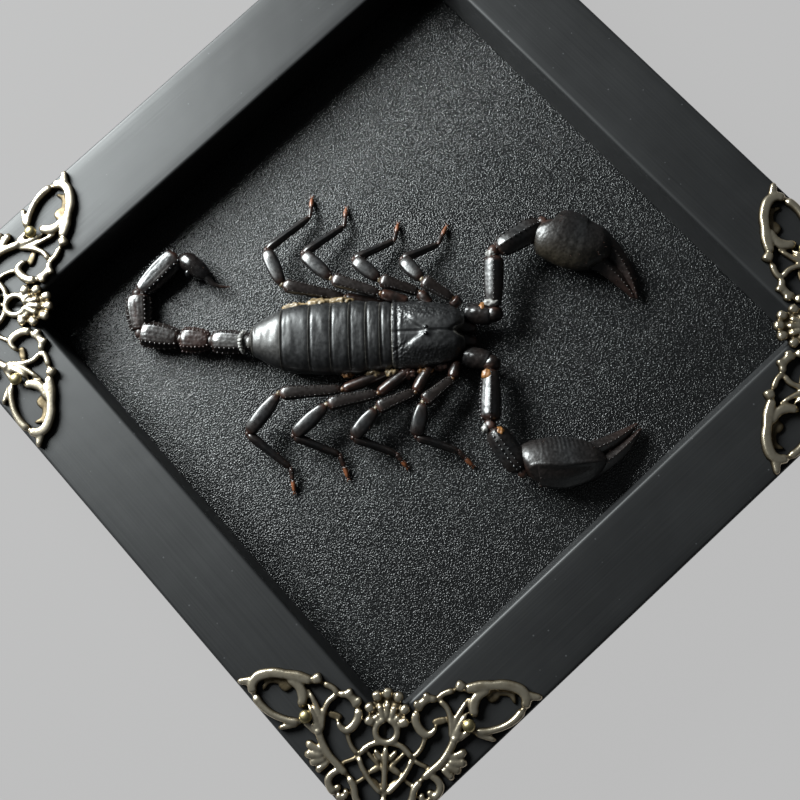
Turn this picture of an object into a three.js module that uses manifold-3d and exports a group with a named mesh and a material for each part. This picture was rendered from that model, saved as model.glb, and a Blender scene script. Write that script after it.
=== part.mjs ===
// Framed scorpion specimen: a square black wooden box frame with a cast filigree ornament nailed on each
// front corner, a panel covered in black leatherette, and a dried forest scorpion laid on it along a
// diagonal. Millimetres. The frame lies on its back: +Z points out of the open front, X and Y run along its
// sides, and the origin is the middle of the back. Seen as a diamond, the corner at -X +Y is its top and the
// corner at +X +Y its right.
import * as THREE from "three";
import { mergeVertices } from "three/addons/utils/BufferGeometryUtils.js";
import Module from "manifold-3d";

// Frame and panel
const FRAME_SIDE = 150;
const FRAME_DEPTH = 20;
const RAIL_WIDTH = 17.4;
const RECESS_DEPTH = 10;
const RABBET_WIDTH = 5.4;
const EDGE_RADIUS = 0.8;
const EDGE_STEPS = 1;
const MITRE_GAP = 0.3;
const BOARD_THICKNESS = 3;
const COVER_THICKNESS = 1;
const PANEL_PLAY = 0.4;
const CLEARANCE = 0.3;
// How far a cutting shape runs past what it cuts
const OVERCUT = 1;
const QUARTER_TURN = Math.PI / 2;

// Flat steel points that hold the board in the rabbet
const POINT_LENGTH = 9;
const POINT_GRIP = 3;
const POINT_WIDTH = 7;
const POINT_THICKNESS = 0.8;
const POINT_OFFSET = 32;

// Corner ornaments and their nails. In an ornament, a place is [distance from the frame's corner along its
// diagonal, distance to the side of the diagonal].
const ORNAMENT_THICKNESS = 1.5;
const NAIL_PLACE = [25.1, 16];
const NAIL_HEAD_RADIUS = 1.35;
const NAIL_HEAD_HEIGHT = 1.1;
// Where the dome's side turns into its top, as shares of the head's radius and height
const NAIL_DOME_TURN = [0.75, 0.7];
const NAIL_SHANK_RADIUS = 0.5;
const NAIL_DEPTH = 8;
const NAIL_SIDES = 6;
const NAIL_SEAT_RADIUS = 1.7;
const RING_PLACE = [23.1, 0];
const RING_OUTER = 2.5;
const RING_INNER = 1.7;
const RING_SIDES = 8;

// Scorpion: a place is [towards the head, towards its left side, height above the leatherette]
const SPECIMEN_TURN = Math.PI / 4;
const BODY_TURN = THREE.MathUtils.degToRad(3.8);
const CARAPACE_REAR = [-2.7, -2.9];
const BODY_MIDDLE = 3.6;
const BODY_SIDES = 12;
const LIMB_SIDES = 6;
const CLAW_SIDES = 8;

const wasm = await Module();
wasm.setup();

const MERGE_DISTANCE = 1e-4;

// Closed geometry to a solid for joining and cutting, leaving out triangles that shrank to a line at a pole.
function toSolid(geometry) {
  const bare = geometry.clone();
  bare.deleteAttribute("normal");
  bare.deleteAttribute("uv");
  const merged = mergeVertices(bare, MERGE_DISTANCE);
  const corners = [];
  for (let i = 0; i < merged.index.count; i += 3) {
    const [a, b, c] = [0, 1, 2].map((n) => merged.index.getX(i + n));
    if (a !== b && b !== c && c !== a) corners.push(a, b, c);
  }
  return new wasm.Manifold(
    new wasm.Mesh({
      numProp: 3,
      vertProperties: merged.attributes.position.array,
      triVerts: new Uint32Array(corners),
    }),
  );
}

function toGeometry(solid) {
  const { vertProperties, triVerts } = solid.getMesh();
  const geometry = new THREE.BufferGeometry();
  geometry.setAttribute("position", new THREE.BufferAttribute(vertProperties, 3));
  geometry.setIndex(new THREE.BufferAttribute(triVerts, 1));
  return geometry;
}

function joined(geometries) {
  return geometries.map(toSolid).reduce((whole, solid) => whole.add(solid));
}

function boxBetween(low, high) {
  const size = high.map((value, axis) => value - low[axis]);
  const middle = high.map((value, axis) => (value + low[axis]) / 2);
  return new THREE.BoxGeometry(...size).translate(...middle);
}

function prism(points, depth) {
  const shape = new THREE.Shape(points.map(([x, y]) => new THREE.Vector2(x, y)));
  return new THREE.ExtrudeGeometry(shape, { depth, bevelEnabled: false, steps: 1 });
}

function disc(radius, depth, sides) {
  const cylinder = new THREE.CylinderGeometry(radius, radius, depth, sides);
  return cylinder.rotateX(QUARTER_TURN).translate(0, 0, depth / 2);
}

const MATERIALS = {
  paint: { color: 0x1d1d1e, roughness: 0.55, metalness: 0 },
  leatherette: { color: 0x0b0b0c, roughness: 0.6, metalness: 0 },
  board: { color: 0x4a3d2e, roughness: 0.85, metalness: 0 },
  steel: { color: 0x8d8c88, roughness: 0.4, metalness: 1 },
  bronze: { color: 0x857a63, roughness: 0.42, metalness: 0.9 },
  brass: { color: 0xa08f5c, roughness: 0.35, metalness: 1 },
  cuticle: { color: 0x14110f, roughness: 0.3, metalness: 0 },
};

function namedMesh(name, geometry, finish) {
  const mesh = new THREE.Mesh(geometry, new THREE.MeshStandardMaterial(MATERIALS[finish]));
  mesh.name = name;
  return mesh;
}

const half = FRAME_SIDE / 2;
const openingHalf = half - RAIL_WIDTH;
const rabbetHalf = openingHalf + RABBET_WIDTH;
const panelTop = FRAME_DEPTH - RECESS_DEPTH;
const coverBottom = panelTop - COVER_THICKNESS;
const boardBottom = coverBottom - BOARD_THICKNESS;

// Places in rail coordinates, from an end of the rail along it and in from its outer edge.
const nailAlong = (NAIL_PLACE[0] + NAIL_PLACE[1]) / Math.SQRT2;
const nailInset = (NAIL_PLACE[0] - NAIL_PLACE[1]) / Math.SQRT2;

// The rail on the -Y side: an L section with softened front edges, mitred at both ends.
function railSolid() {
  const section = new THREE.Shape();
  section.moveTo(-half, 0);
  section.lineTo(-rabbetHalf, 0);
  section.lineTo(-rabbetHalf, panelTop);
  section.lineTo(-openingHalf, panelTop);
  section.lineTo(-openingHalf, FRAME_DEPTH - EDGE_RADIUS);
  section.absarc(-openingHalf - EDGE_RADIUS, FRAME_DEPTH - EDGE_RADIUS, EDGE_RADIUS, 0, Math.PI / 2);
  section.lineTo(-half + EDGE_RADIUS, FRAME_DEPTH);
  section.absarc(-half + EDGE_RADIUS, FRAME_DEPTH - EDGE_RADIUS, EDGE_RADIUS, Math.PI / 2, Math.PI);
  const bar = new THREE.ExtrudeGeometry(section, {
    depth: FRAME_SIDE,
    bevelEnabled: false,
    steps: 1,
    curveSegments: EDGE_STEPS,
  });
  bar.translate(0, 0, -half);
  bar.applyMatrix4(
    new THREE.Matrix4().makeBasis(
      new THREE.Vector3(0, 1, 0),
      new THREE.Vector3(0, 0, 1),
      new THREE.Vector3(1, 0, 0),
    ),
  );
  const mitreBack = MITRE_GAP / Math.SQRT2;
  const near = openingHalf - OVERCUT;
  const far = half + OVERCUT;
  const wedge = prism(
    [
      [-far + mitreBack, -far],
      [far - mitreBack, -far],
      [near - mitreBack, -near],
      [-near + mitreBack, -near],
    ],
    FRAME_DEPTH + 2 * OVERCUT,
  ).translate(0, 0, -OVERCUT);
  let rail = toSolid(bar).intersect(toSolid(wedge));
  const hole = NAIL_SHANK_RADIUS + CLEARANCE;
  for (const side of [-1, 1]) {
    const bore = disc(hole, NAIL_DEPTH + OVERCUT, NAIL_SIDES);
    bore.translate(side * (half - nailAlong), -half + nailInset, FRAME_DEPTH - NAIL_DEPTH - CLEARANCE);
    rail = rail.subtract(toSolid(bore));
    const slotLow = [-POINT_WIDTH / 2 - CLEARANCE, -rabbetHalf - POINT_GRIP - CLEARANCE];
    const slotHigh = [POINT_WIDTH / 2 + CLEARANCE, -rabbetHalf + OVERCUT];
    const slot = boxBetween(
      [...slotLow, boardBottom - POINT_THICKNESS - CLEARANCE],
      [...slotHigh, boardBottom + CLEARANCE],
    );
    rail = rail.subtract(toSolid(slot.translate(side * POINT_OFFSET, 0, 0)));
  }
  return rail;
}

// A steel point: its tip is driven into the rail, its tail lies under the board.
function boardPoint() {
  const shoulder = -rabbetHalf - POINT_GRIP / 2;
  const outline = [
    [0, -rabbetHalf - POINT_GRIP],
    [POINT_WIDTH / 2, shoulder],
    [POINT_WIDTH / 2, shoulder + POINT_LENGTH],
    [-POINT_WIDTH / 2, shoulder + POINT_LENGTH],
    [-POINT_WIDTH / 2, shoulder],
  ];
  return prism(outline, POINT_THICKNESS).translate(0, 0, boardBottom - POINT_THICKNESS);
}

// A flat stroke of the filigree along a smooth path, as wide as its first width at the start and its second
// at the end.
function stroke(path, widths, steps) {
  const curve = new THREE.SplineCurve(path.map(([p, q]) => new THREE.Vector2(p, q)));
  const left = [];
  const right = [];
  for (let i = 0; i <= steps; i++) {
    const t = i / steps;
    const middle = curve.getPoint(t);
    const tangent = curve.getTangent(t);
    const reach = THREE.MathUtils.lerp(widths[0], widths[1], t) / 2;
    left.push([middle.x - tangent.y * reach, middle.y + tangent.x * reach]);
    right.push([middle.x + tangent.y * reach, middle.y - tangent.x * reach]);
  }
  return prism([...right, ...left.reverse()], ORNAMENT_THICKNESS);
}

// Strokes on one side of the ornament's diagonal: [path, widths at its ends, steps]
const LEAF_LOOP = [
  [[23.6, 16.4], [24.6, 22], [28.2, 26.2], [31.7, 25.3], [32.6, 21], [30.6, 17.4], [26.2, 16.6]],
  [1.2, 1.4],
  6,
];
const LOOP_TIP = [[[30.6, 29.9], [30.5, 26]], [0.8, 1.6], 1];
const CALYX = [[[32.4, 20.5], [31.6, 16.8], [33, 13.1]], [1.1, 1.9], 2];
const SCROLL_LINK = [[[32.2, 13.6], [29, 9.2]], [0.9, 0.9], 1];
const SCROLL_STRAND = [[[29.3, 9.6], [26.6, 12], [22.6, 12.6]], [0.8, 0.9], 2];
const SCROLL = [
  [[29.2, 9.4], [28.8, 6.8], [26.6, 5.3], [24, 6], [22.7, 7.6], [24.4, 9.2]],
  [1.3, 0.7],
  5,
];
const STEM = [
  [[24, 14.8], [17.6, 10.5], [13.6, 6.4], [10.2, 5.4], [4.4, -0.2]],
  [1.4, 1.3],
  4,
];
const EDGE_LEG = [[[21.8, 21], [24.4, 16.2]], [0.8, 1.2], 1];
const LATTICE_LINK = [[[22.8, 7.4], [17.8, 4.9]], [0.7, 0.6], 1];
const LATTICE_SIDE = [
  [[20.8, -0.2], [20.2, 2.6], [17.8, 4.7], [14.6, 3.2], [11, -0.2]],
  [0.8, 0.8],
  3,
];
const VOLUTE = [
  [[15.2, 8.4], [13.9, 10.9], [11.6, 10.3], [10.6, 8.2], [12.6, 7.4]],
  [1, 0.8],
  4,
];
// Shell on the outer edge: its root on the stem, then its lobes' tips with the notches between them
const SHELL = [
  [18.8, 11.6],
  [20.4, 15.4],
  [18.7, 14.6],
  [17.6, 16.2],
  [16.6, 14.2],
  [14.6, 13.6],
  [16.4, 10.4],
];
// Spine along the diagonal, from the ring to the frame's corner
const SPINE = [[[21, 0], [4, 0]], [1, 1.6], 1];
// Fan over the ring: each petal's angle from the diagonal in degrees and its reach from the ring's middle
const FAN_PETALS = [[-66, 4.8], [-39, 6.4], [-18, 7.6], [0, 7.9], [18, 7.6], [39, 6.4], [66, 4.8]];
const FAN_PETAL_SPREAD = 7;
const FAN_NOTCH = 0.55;

function mirrored([path, widths, steps], side) {
  return stroke(path.map(([p, q]) => [p, side * q]), widths, steps);
}

// The fan is one plate: two corners at each petal's end and a notch between neighbours.
function fan() {
  const around = (angle, reach) => {
    const turn = THREE.MathUtils.degToRad(angle);
    return [RING_PLACE[0] + reach * Math.cos(turn), reach * Math.sin(turn)];
  };
  const outline = FAN_PETALS.flatMap(([angle, reach], i) => {
    const ends = [around(angle - FAN_PETAL_SPREAD, reach), around(angle + FAN_PETAL_SPREAD, reach)];
    const next = FAN_PETALS[i + 1];
    if (!next) return ends;
    return [...ends, around((angle + next[0]) / 2, Math.min(reach, next[1]) * FAN_NOTCH)];
  });
  return prism([RING_PLACE, ...outline], ORNAMENT_THICKNESS);
}

function nailSeat(side) {
  const seat = disc(NAIL_SEAT_RADIUS, ORNAMENT_THICKNESS, NAIL_SIDES);
  return seat.translate(NAIL_PLACE[0], side * NAIL_PLACE[1], 0);
}

function ornamentHalf(side) {
  const strokes = [
    LEAF_LOOP,
    LOOP_TIP,
    CALYX,
    SCROLL_LINK,
    SCROLL_STRAND,
    SCROLL,
    STEM,
    EDGE_LEG,
    LATTICE_LINK,
    LATTICE_SIDE,
    VOLUTE,
  ];
  return [
    ...strokes.map((line) => mirrored(line, side)),
    prism(SHELL.map(([p, q]) => [p, side * q]), ORNAMENT_THICKNESS),
    nailSeat(side),
  ];
}

function ornamentSolid() {
  const [ringPlace] = RING_PLACE;
  const spine = stroke(...SPINE);
  const ring = disc(RING_OUTER, ORNAMENT_THICKNESS, RING_SIDES).translate(ringPlace, 0, 0);
  let ornament = joined([ring, fan(), spine, ...ornamentHalf(1), ...ornamentHalf(-1)]);
  const through = ORNAMENT_THICKNESS + 2 * OVERCUT;
  const eye = disc(RING_INNER, through, RING_SIDES).translate(ringPlace, 0, -OVERCUT);
  ornament = ornament.subtract(toSolid(eye));
  for (const side of [-1, 1]) {
    const hole = disc(NAIL_SHANK_RADIUS + CLEARANCE, through, NAIL_SIDES);
    hole.translate(NAIL_PLACE[0], side * NAIL_PLACE[1], -OVERCUT);
    ornament = ornament.subtract(toSolid(hole));
  }
  return ornament;
}

// A dome-headed nail standing on the ornament, its shank through the ornament into the rail.
function nail() {
  const profile = [
    [0, -NAIL_DEPTH],
    [NAIL_SHANK_RADIUS, -NAIL_DEPTH],
    [NAIL_SHANK_RADIUS, ORNAMENT_THICKNESS],
    [NAIL_HEAD_RADIUS, ORNAMENT_THICKNESS],
    [NAIL_HEAD_RADIUS * NAIL_DOME_TURN[0], ORNAMENT_THICKNESS + NAIL_HEAD_HEIGHT * NAIL_DOME_TURN[1]],
    [0, ORNAMENT_THICKNESS + NAIL_HEAD_HEIGHT],
  ].map(([r, z]) => new THREE.Vector2(r, z));
  return new THREE.LatheGeometry(profile, NAIL_SIDES).rotateX(QUARTER_TURN);
}

// A closed skin through oval rings, each { middle, forward, width, height } with half sizes. Its ends are
// poles.
function skin(rings, sides) {
  const unit = [0, ...rings.map(() => 1), 0].map((radius, i) => new THREE.Vector2(radius, i));
  const geometry = new THREE.LatheGeometry(unit, sides);
  const places = geometry.attributes.position;
  const up = new THREE.Vector3(0, 0, 1);
  const place = new THREE.Vector3();
  for (let i = 0; i < places.count; i++) {
    const row = (i % unit.length) - 1;
    const ring = rings[THREE.MathUtils.clamp(row, 0, rings.length - 1)];
    const sideways = new THREE.Vector3().crossVectors(ring.forward, up).normalize();
    const upward = new THREE.Vector3().crossVectors(sideways, ring.forward);
    place.copy(ring.middle);
    place.addScaledVector(sideways, places.getX(i) * ring.width);
    place.addScaledVector(upward, places.getZ(i) * ring.height);
    places.setXYZ(i, place.x, place.y, place.z);
  }
  return geometry;
}

// A limb through its joints. Each segment has rings of [share of its length, half width, half height], and
// each inner joint a ring of [half width, half height] set square to the bend.
function limb(joints, segments, knuckles, sides) {
  const places = joints.map((joint) => new THREE.Vector3(...joint));
  const headings = segments.map((_, i) => places[i + 1].clone().sub(places[i]).normalize());
  const rings = segments.flatMap((segment, i) => {
    const along = segment.map(([t, width, height]) => ({
      middle: places[i].clone().lerp(places[i + 1], t),
      forward: headings[i],
      width,
      height,
    }));
    if (i === segments.length - 1) return along;
    const forward = headings[i].clone().add(headings[i + 1]).normalize();
    const [halfWidth, height] = knuckles[i];
    const width = halfWidth / forward.dot(headings[i]);
    return [...along, { middle: places[i + 1], forward, width, height }];
  });
  return skin(rings, sides);
}

// One segment on its own, its middle moved sideways by the bow.
function finger(from, to, rings, bow) {
  const start = new THREE.Vector3(...from);
  const end = new THREE.Vector3(...to);
  const forward = end.clone().sub(start).normalize();
  const sideways = new THREE.Vector3(forward.y, -forward.x, 0);
  const bent = rings.map(([t, width, height]) => {
    const middle = start.clone().lerp(end, t);
    middle.addScaledVector(sideways, bow * Math.sin(Math.PI * t));
    return { middle, forward, width, height };
  });
  return skin(bent, LIMB_SIDES);
}

// Everything below the leatherette's surface, taken away from what lies on it.
const underPanel = toSolid(boxBetween([-half, -half, -half], [half, half, 0]));

// A place on the body: distance ahead of the carapace's rear edge, to the left of the midline, and up.
function onBody(along, across, height) {
  const place = new THREE.Vector2(along, across).rotateAround(new THREE.Vector2(), BODY_TURN);
  return [place.x + CARAPACE_REAR[0], place.y + CARAPACE_REAR[1], height];
}

// Back plates from the tail to the carapace: rear and front edge, half width and top height at the rear edge
const BACK_PLATES = [
  { rear: -30.2, front: -23.8, halfWidth: 3.2, top: 6.4 },
  { rear: -23.8, front: -17.7, halfWidth: 6.7, top: 8.1 },
  { rear: -17.7, front: -13.1, halfWidth: 7.6, top: 8.5 },
  { rear: -13.1, front: -9.1, halfWidth: 7.8, top: 8.5 },
  { rear: -9.1, front: -5.6, halfWidth: 7.9, top: 8.5 },
  { rear: -5.6, front: -2.6, halfWidth: 7.6, top: 8.4 },
  { rear: -2.6, front: 0, halfWidth: 7.4, top: 8.2 },
];
const PLATE_STEP = 0.5;
// Carapace: distance ahead of its rear edge, half width and top height
const CARAPACE = [
  [0, 7.1, 8.2],
  [0.5, 7.4, 8.5],
  [4.6, 7.4, 8.5],
  [9.5, 6.8, 8],
  [13.2, 5.8, 7.2],
  [15.4, 4.2, 6],
];
const CARAPACE_FRONT = CARAPACE[CARAPACE.length - 1][0];
// Cleft between the carapace's two front lobes
const CLEFT_APEX = 13.2;
const CLEFT_HALF_WIDTH = 1.5;
const CLEFT_FLOOR = 4.8;
// Jaws under the carapace's front, as places on the body's left side
const CHELICERA_ROOT = [12, 1.7, 3.6];
const CHELICERA_TIP = [18.6, 1.5, 2.6];
const CHELICERA_RINGS = [[0.02, 1.4, 1.4], [0.6, 1.7, 1.6], [0.98, 0.9, 0.9]];

// The body grown by a distance all round: nothing for the piece itself, the clearance for its neighbours.
function bodySolid(grow) {
  const forward = new THREE.Vector3(...onBody(1, 0, 0)).sub(new THREE.Vector3(...onBody(0, 0, 0)));
  const ring = (along, halfWidth, top) => ({
    middle: new THREE.Vector3(...onBody(along, 0, BODY_MIDDLE)),
    forward,
    width: halfWidth + grow,
    height: top - BODY_MIDDLE + grow,
  });
  const plateRings = BACK_PLATES.flatMap(({ rear, front, halfWidth, top }, i) => {
    const ahead = BACK_PLATES[i + 1] ?? { halfWidth: CARAPACE[0][1], top: CARAPACE[0][2] };
    return [
      ring(rear - grow, halfWidth, top),
      ring(front - grow, ahead.halfWidth - PLATE_STEP, ahead.top - PLATE_STEP),
    ];
  });
  const carapaceRings = CARAPACE.map(([along, halfWidth, top], i) => {
    const reach = i === CARAPACE.length - 1 ? grow : 0;
    return ring(along + reach, halfWidth, top);
  });
  const trunk = skin([...plateRings, ...carapaceRings], BODY_SIDES);
  const grown = CHELICERA_RINGS.map(([t, width, height]) => [t, width + grow, height + grow]);
  const [rootAlong, rootAcross, rootHeight] = CHELICERA_ROOT;
  const [tipAlong, tipAcross, tipHeight] = CHELICERA_TIP;
  const chelicerae = [-1, 1].map((side) => {
    const root = onBody(rootAlong, side * rootAcross, rootHeight);
    return finger(root, onBody(tipAlong + grow, side * tipAcross, tipHeight), grown, 0);
  });
  return joined([trunk, ...chelicerae]).subtract(underPanel);
}

function frontCleft() {
  const outline = [
    onBody(CLEFT_APEX, 0, 0),
    onBody(CARAPACE_FRONT + OVERCUT, -CLEFT_HALF_WIDTH, 0),
    onBody(CARAPACE_FRONT + OVERCUT, CLEFT_HALF_WIDTH, 0),
  ];
  return toSolid(prism(outline, RECESS_DEPTH).translate(0, 0, CLEFT_FLOOR));
}

const bodyWithClearance = bodySolid(CLEARANCE);

// A limb on the panel, clear of the body and cut off flat where it lies on the leatherette.
function limbSolid(pieces) {
  return joined(pieces).subtract(underPanel).subtract(bodyWithClearance);
}

// Tail: the joints from the body to the end of the sting's bulb, the half width of each segment, the waist
// at its joints as a share of that, then the bulb and the sting
const TAIL_JOINTS = [
  [-32.2, -5.3, 4],
  [-42.2, -5, 3],
  [-49.1, -4.7, 2.6],
  [-58.3, -3.6, 2.5],
  [-59.6, 5.2, 2.4],
  [-51.3, 14.5, 2.5],
  [-43.8, 9.2, 2.3],
];
const TAIL_HALF_WIDTHS = [2.4, 2.5, 2.6, 2.6, 2.5];
const TAIL_WAIST = 0.76;
const TAIL_RING_SHARES = [0.3, 0.72];
const TAIL_ROOT_RING = [0, 2, 2.2];
const BULB_RINGS = [[0.3, 2.2, 2.3], [0.62, 2.1, 2.2], [0.98, 0.9, 1]];
const STING_START = [-44.8, 9.8, 2.3];
const STING_TIP = [-39.2, 7.6, 1.5];
const STING_RINGS = [[0, 1, 1], [0.5, 0.75, 0.75], [1, 0.15, 0.15]];
const STING_BOW = 1.1;

function tailSolid() {
  const segments = TAIL_HALF_WIDTHS.map((width) => TAIL_RING_SHARES.map((share) => [share, width, width]));
  segments[0].unshift(TAIL_ROOT_RING);
  const knuckles = TAIL_HALF_WIDTHS.map((width) => [width * TAIL_WAIST, width * TAIL_WAIST]);
  const chain = limb(TAIL_JOINTS, [...segments, BULB_RINGS], knuckles, CLAW_SIDES);
  return limbSolid([chain, finger(STING_START, STING_TIP, STING_RINGS, STING_BOW)]);
}

// Claws: coxa, trochanter, elbow, wrist and hand's end in order, then the fingers
const LEFT_CLAW = {
  joints: [[12.4, 2.8, 3.8], [18.6, 1.8, 5], [18.2, 15.6, 6], [28.4, 22.4, 5.2], [42.4, 17.1, 4]],
  handHalfWidth: 6.2,
  fixedFinger: [37.6, 15.4, 3.4],
  movingFinger: [40, 20.8, 3.6],
  tip: [49.2, 7.4, 1.7],
  bows: [0.3, -1.9],
};
const RIGHT_CLAW = {
  joints: [[12.4, -6.6, 3.8], [18.4, -8, 4.8], [18.6, -21.8, 5.8], [25.6, -31, 5], [41.4, -28.4, 4]],
  handHalfWidth: 5.3,
  fixedFinger: [38, -26.2, 3.6],
  movingFinger: [39.6, -30, 3.4],
  tip: [49.7, -19.9, 1.7],
  bows: [-0.3, 1.5],
};
const COXA_RINGS = [[0, 1.6, 1.8], [0.55, 1.8, 1.9]];
const FEMUR_RINGS = [[0.25, 1.9, 1.9], [0.8, 2, 2]];
const PATELLA_RINGS = [[0.25, 2.5, 2.3], [0.75, 2.6, 2.5]];
// Hand: share of its length, share of its half width, and half height
const HAND_SHAPE = [
  [0.04, 0.6, 2.6],
  [0.2, 0.86, 3.5],
  [0.48, 1, 3.9],
  [0.78, 0.86, 3.2],
  [1, 0.5, 2],
];
const CLAW_KNUCKLES = [[1.9, 2], [1.6, 1.7], [1.8, 1.9]];
const FINGER_RINGS = [[0, 2.2, 2], [0.35, 1.7, 1.7], [0.75, 1.1, 1.2], [1, 0.3, 0.4]];

function clawSolid({ joints, handHalfWidth, fixedFinger, movingFinger, tip, bows }) {
  const hand = HAND_SHAPE.map(([t, share, height]) => [t, share * handHalfWidth, height]);
  const arm = limb(joints, [COXA_RINGS, FEMUR_RINGS, PATELLA_RINGS, hand], CLAW_KNUCKLES, CLAW_SIDES);
  const fingers = [fixedFinger, movingFinger].map((base, i) => finger(base, tip, FINGER_RINGS, bows[i]));
  return limbSolid([arm, ...fingers]);
}

// Legs, front leg first: hip, femur's start, femur's end, knee, ankle and foot of each
const LEFT_LEGS = [
  [
    [11.2, 4.2, 4], [9.8, 5.4, 5], [3.2, 9, 6.4],
    [-1.4, 13.9, 4.6], [6.2, 18.2, 1.8], [7.8, 22.6, 0.5],
  ],
  [
    [5, 4.2, 3.6], [2.6, 6.9, 3.8], [-6, 9, 5.4],
    [-11.8, 13.6, 4.6], [-3.5, 18.8, 1.8], [-2.9, 22.9, 0.5],
  ],
  [
    [0.4, 4.6, 4.2], [-5.6, 6, 5.2], [-16.4, 8.9, 5.6],
    [-23, 14.6, 4.6], [-14.7, 21.9, 1.8], [-14.6, 26.3, 0.5],
  ],
  [
    [-4.4, 4.6, 2], [-13.6, 5.6, 2.6], [-27.1, 7.4, 5],
    [-31.2, 15.4, 4.2], [-22.4, 23.8, 1.8], [-22.4, 28.5, 0.5],
  ],
];
const RIGHT_LEGS = [
  [
    [11.2, -8, 3.4], [10.4, -11.8, 4.2], [4.4, -17.2, 5.6],
    [3.2, -24.4, 4.6], [12.1, -26.9, 1.8], [15.2, -29.8, 0.5],
  ],
  [
    [5.6, -9, 3.4], [2.6, -14.9, 4.2], [-5.4, -18.9, 5.6],
    [-10.1, -25.1, 4.6], [-1, -28, 1.8], [1.3, -30.6, 0.5],
  ],
  [
    [2, -9.4, 3.4], [-5.2, -15.5, 4.2], [-15.9, -18.4, 5.6],
    [-22.8, -25.2, 4.6], [-13, -28.7, 1.8], [-11.2, -33.4, 0.5],
  ],
  [
    [-2, -10, 2.6], [-13, -14.8, 3.8], [-26.3, -16.4, 5.4],
    [-32.7, -25, 4.2], [-23.4, -31.9, 1.8], [-22.6, -36.8, 0.5],
  ],
];
const LEG_RINGS = [
  [[0, 1, 1.2]],
  [[0.3, 1.15, 1.25], [0.75, 1.2, 1.25]],
  [[0.35, 1.3, 1.3], [0.8, 1, 1]],
  [[0.3, 0.85, 0.85], [0.85, 0.65, 0.7]],
  [[0.4, 0.5, 0.6], [1, 0.25, 0.5]],
];
const LEG_KNUCKLES = [[0.9, 1], [0.95, 1.05], [0.75, 0.8], [0.55, 0.6]];

function legSolid(joints) {
  return limbSolid([limb(joints, LEG_RINGS, LEG_KNUCKLES, LIMB_SIDES)]);
}

const framedScorpion = new THREE.Group();

const SIDES = ["bottom_left", "bottom_right", "top_right", "top_left"];
const railGeometry = toGeometry(railSolid());
SIDES.forEach((side, i) => {
  const group = new THREE.Group();
  group.rotation.z = i * QUARTER_TURN;
  group.add(namedMesh(`rail_${side}`, railGeometry, "paint"));
  for (const [end, offset] of [["a", -POINT_OFFSET], ["b", POINT_OFFSET]]) {
    const point = namedMesh(`board_point_${side}_${end}`, boardPoint(), "steel");
    point.position.x = offset;
    group.add(point);
  }
  framedScorpion.add(group);
});

const panelHalf = rabbetHalf - PANEL_PLAY;
const board = boxBetween([-panelHalf, -panelHalf, boardBottom], [panelHalf, panelHalf, coverBottom]);
const cover = boxBetween([-panelHalf, -panelHalf, coverBottom], [panelHalf, panelHalf, panelTop]);
framedScorpion.add(namedMesh("backing_board", board, "board"));
framedScorpion.add(namedMesh("leatherette_cover", cover, "leatherette"));

const CORNERS = ["right", "top", "left", "bottom"];
const ornamentGeometry = toGeometry(ornamentSolid());
CORNERS.forEach((corner, i) => {
  const turned = new THREE.Group();
  turned.rotation.z = i * QUARTER_TURN;
  const seat = new THREE.Group();
  seat.position.set(half, half, FRAME_DEPTH);
  seat.rotation.z = 2.5 * QUARTER_TURN;
  seat.add(namedMesh(`corner_${corner}`, ornamentGeometry, "bronze"));
  for (const [end, side] of [["a", 1], ["b", -1]]) {
    const dome = namedMesh(`nail_${corner}_${end}`, nail(), "brass");
    dome.position.set(NAIL_PLACE[0], side * NAIL_PLACE[1], 0);
    seat.add(dome);
  }
  turned.add(seat);
  framedScorpion.add(turned);
});

const specimen = new THREE.Group();
specimen.position.z = panelTop;
specimen.rotation.z = SPECIMEN_TURN;
const addPiece = (name, solid) => specimen.add(namedMesh(name, toGeometry(solid), "cuticle"));
addPiece("scorpion_body", bodySolid(0).subtract(frontCleft()));
addPiece("scorpion_tail", tailSolid());
addPiece("scorpion_claw_left", clawSolid(LEFT_CLAW));
addPiece("scorpion_claw_right", clawSolid(RIGHT_CLAW));
LEFT_LEGS.forEach((joints, i) => addPiece(`scorpion_leg_left_${i + 1}`, legSolid(joints)));
RIGHT_LEGS.forEach((joints, i) => addPiece(`scorpion_leg_right_${i + 1}`, legSolid(joints)));
framedScorpion.add(specimen);

export default framedScorpion;
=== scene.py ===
# %% [markdown]
# # A scorpion in a box frame
# The real thing is a square black box frame with cast filigree corners, and a dried forest scorpion lying
# on a leatherette panel inside it. The plain solids of every piece come in as a fixed frame. Each step
# below makes one piece or one finish finely, in the place that its plain solid holds.

# %% Load the plain solids
import math

import bmesh
import bpy
import numpy as np
from mathutils import Matrix, Vector, noise


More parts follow.
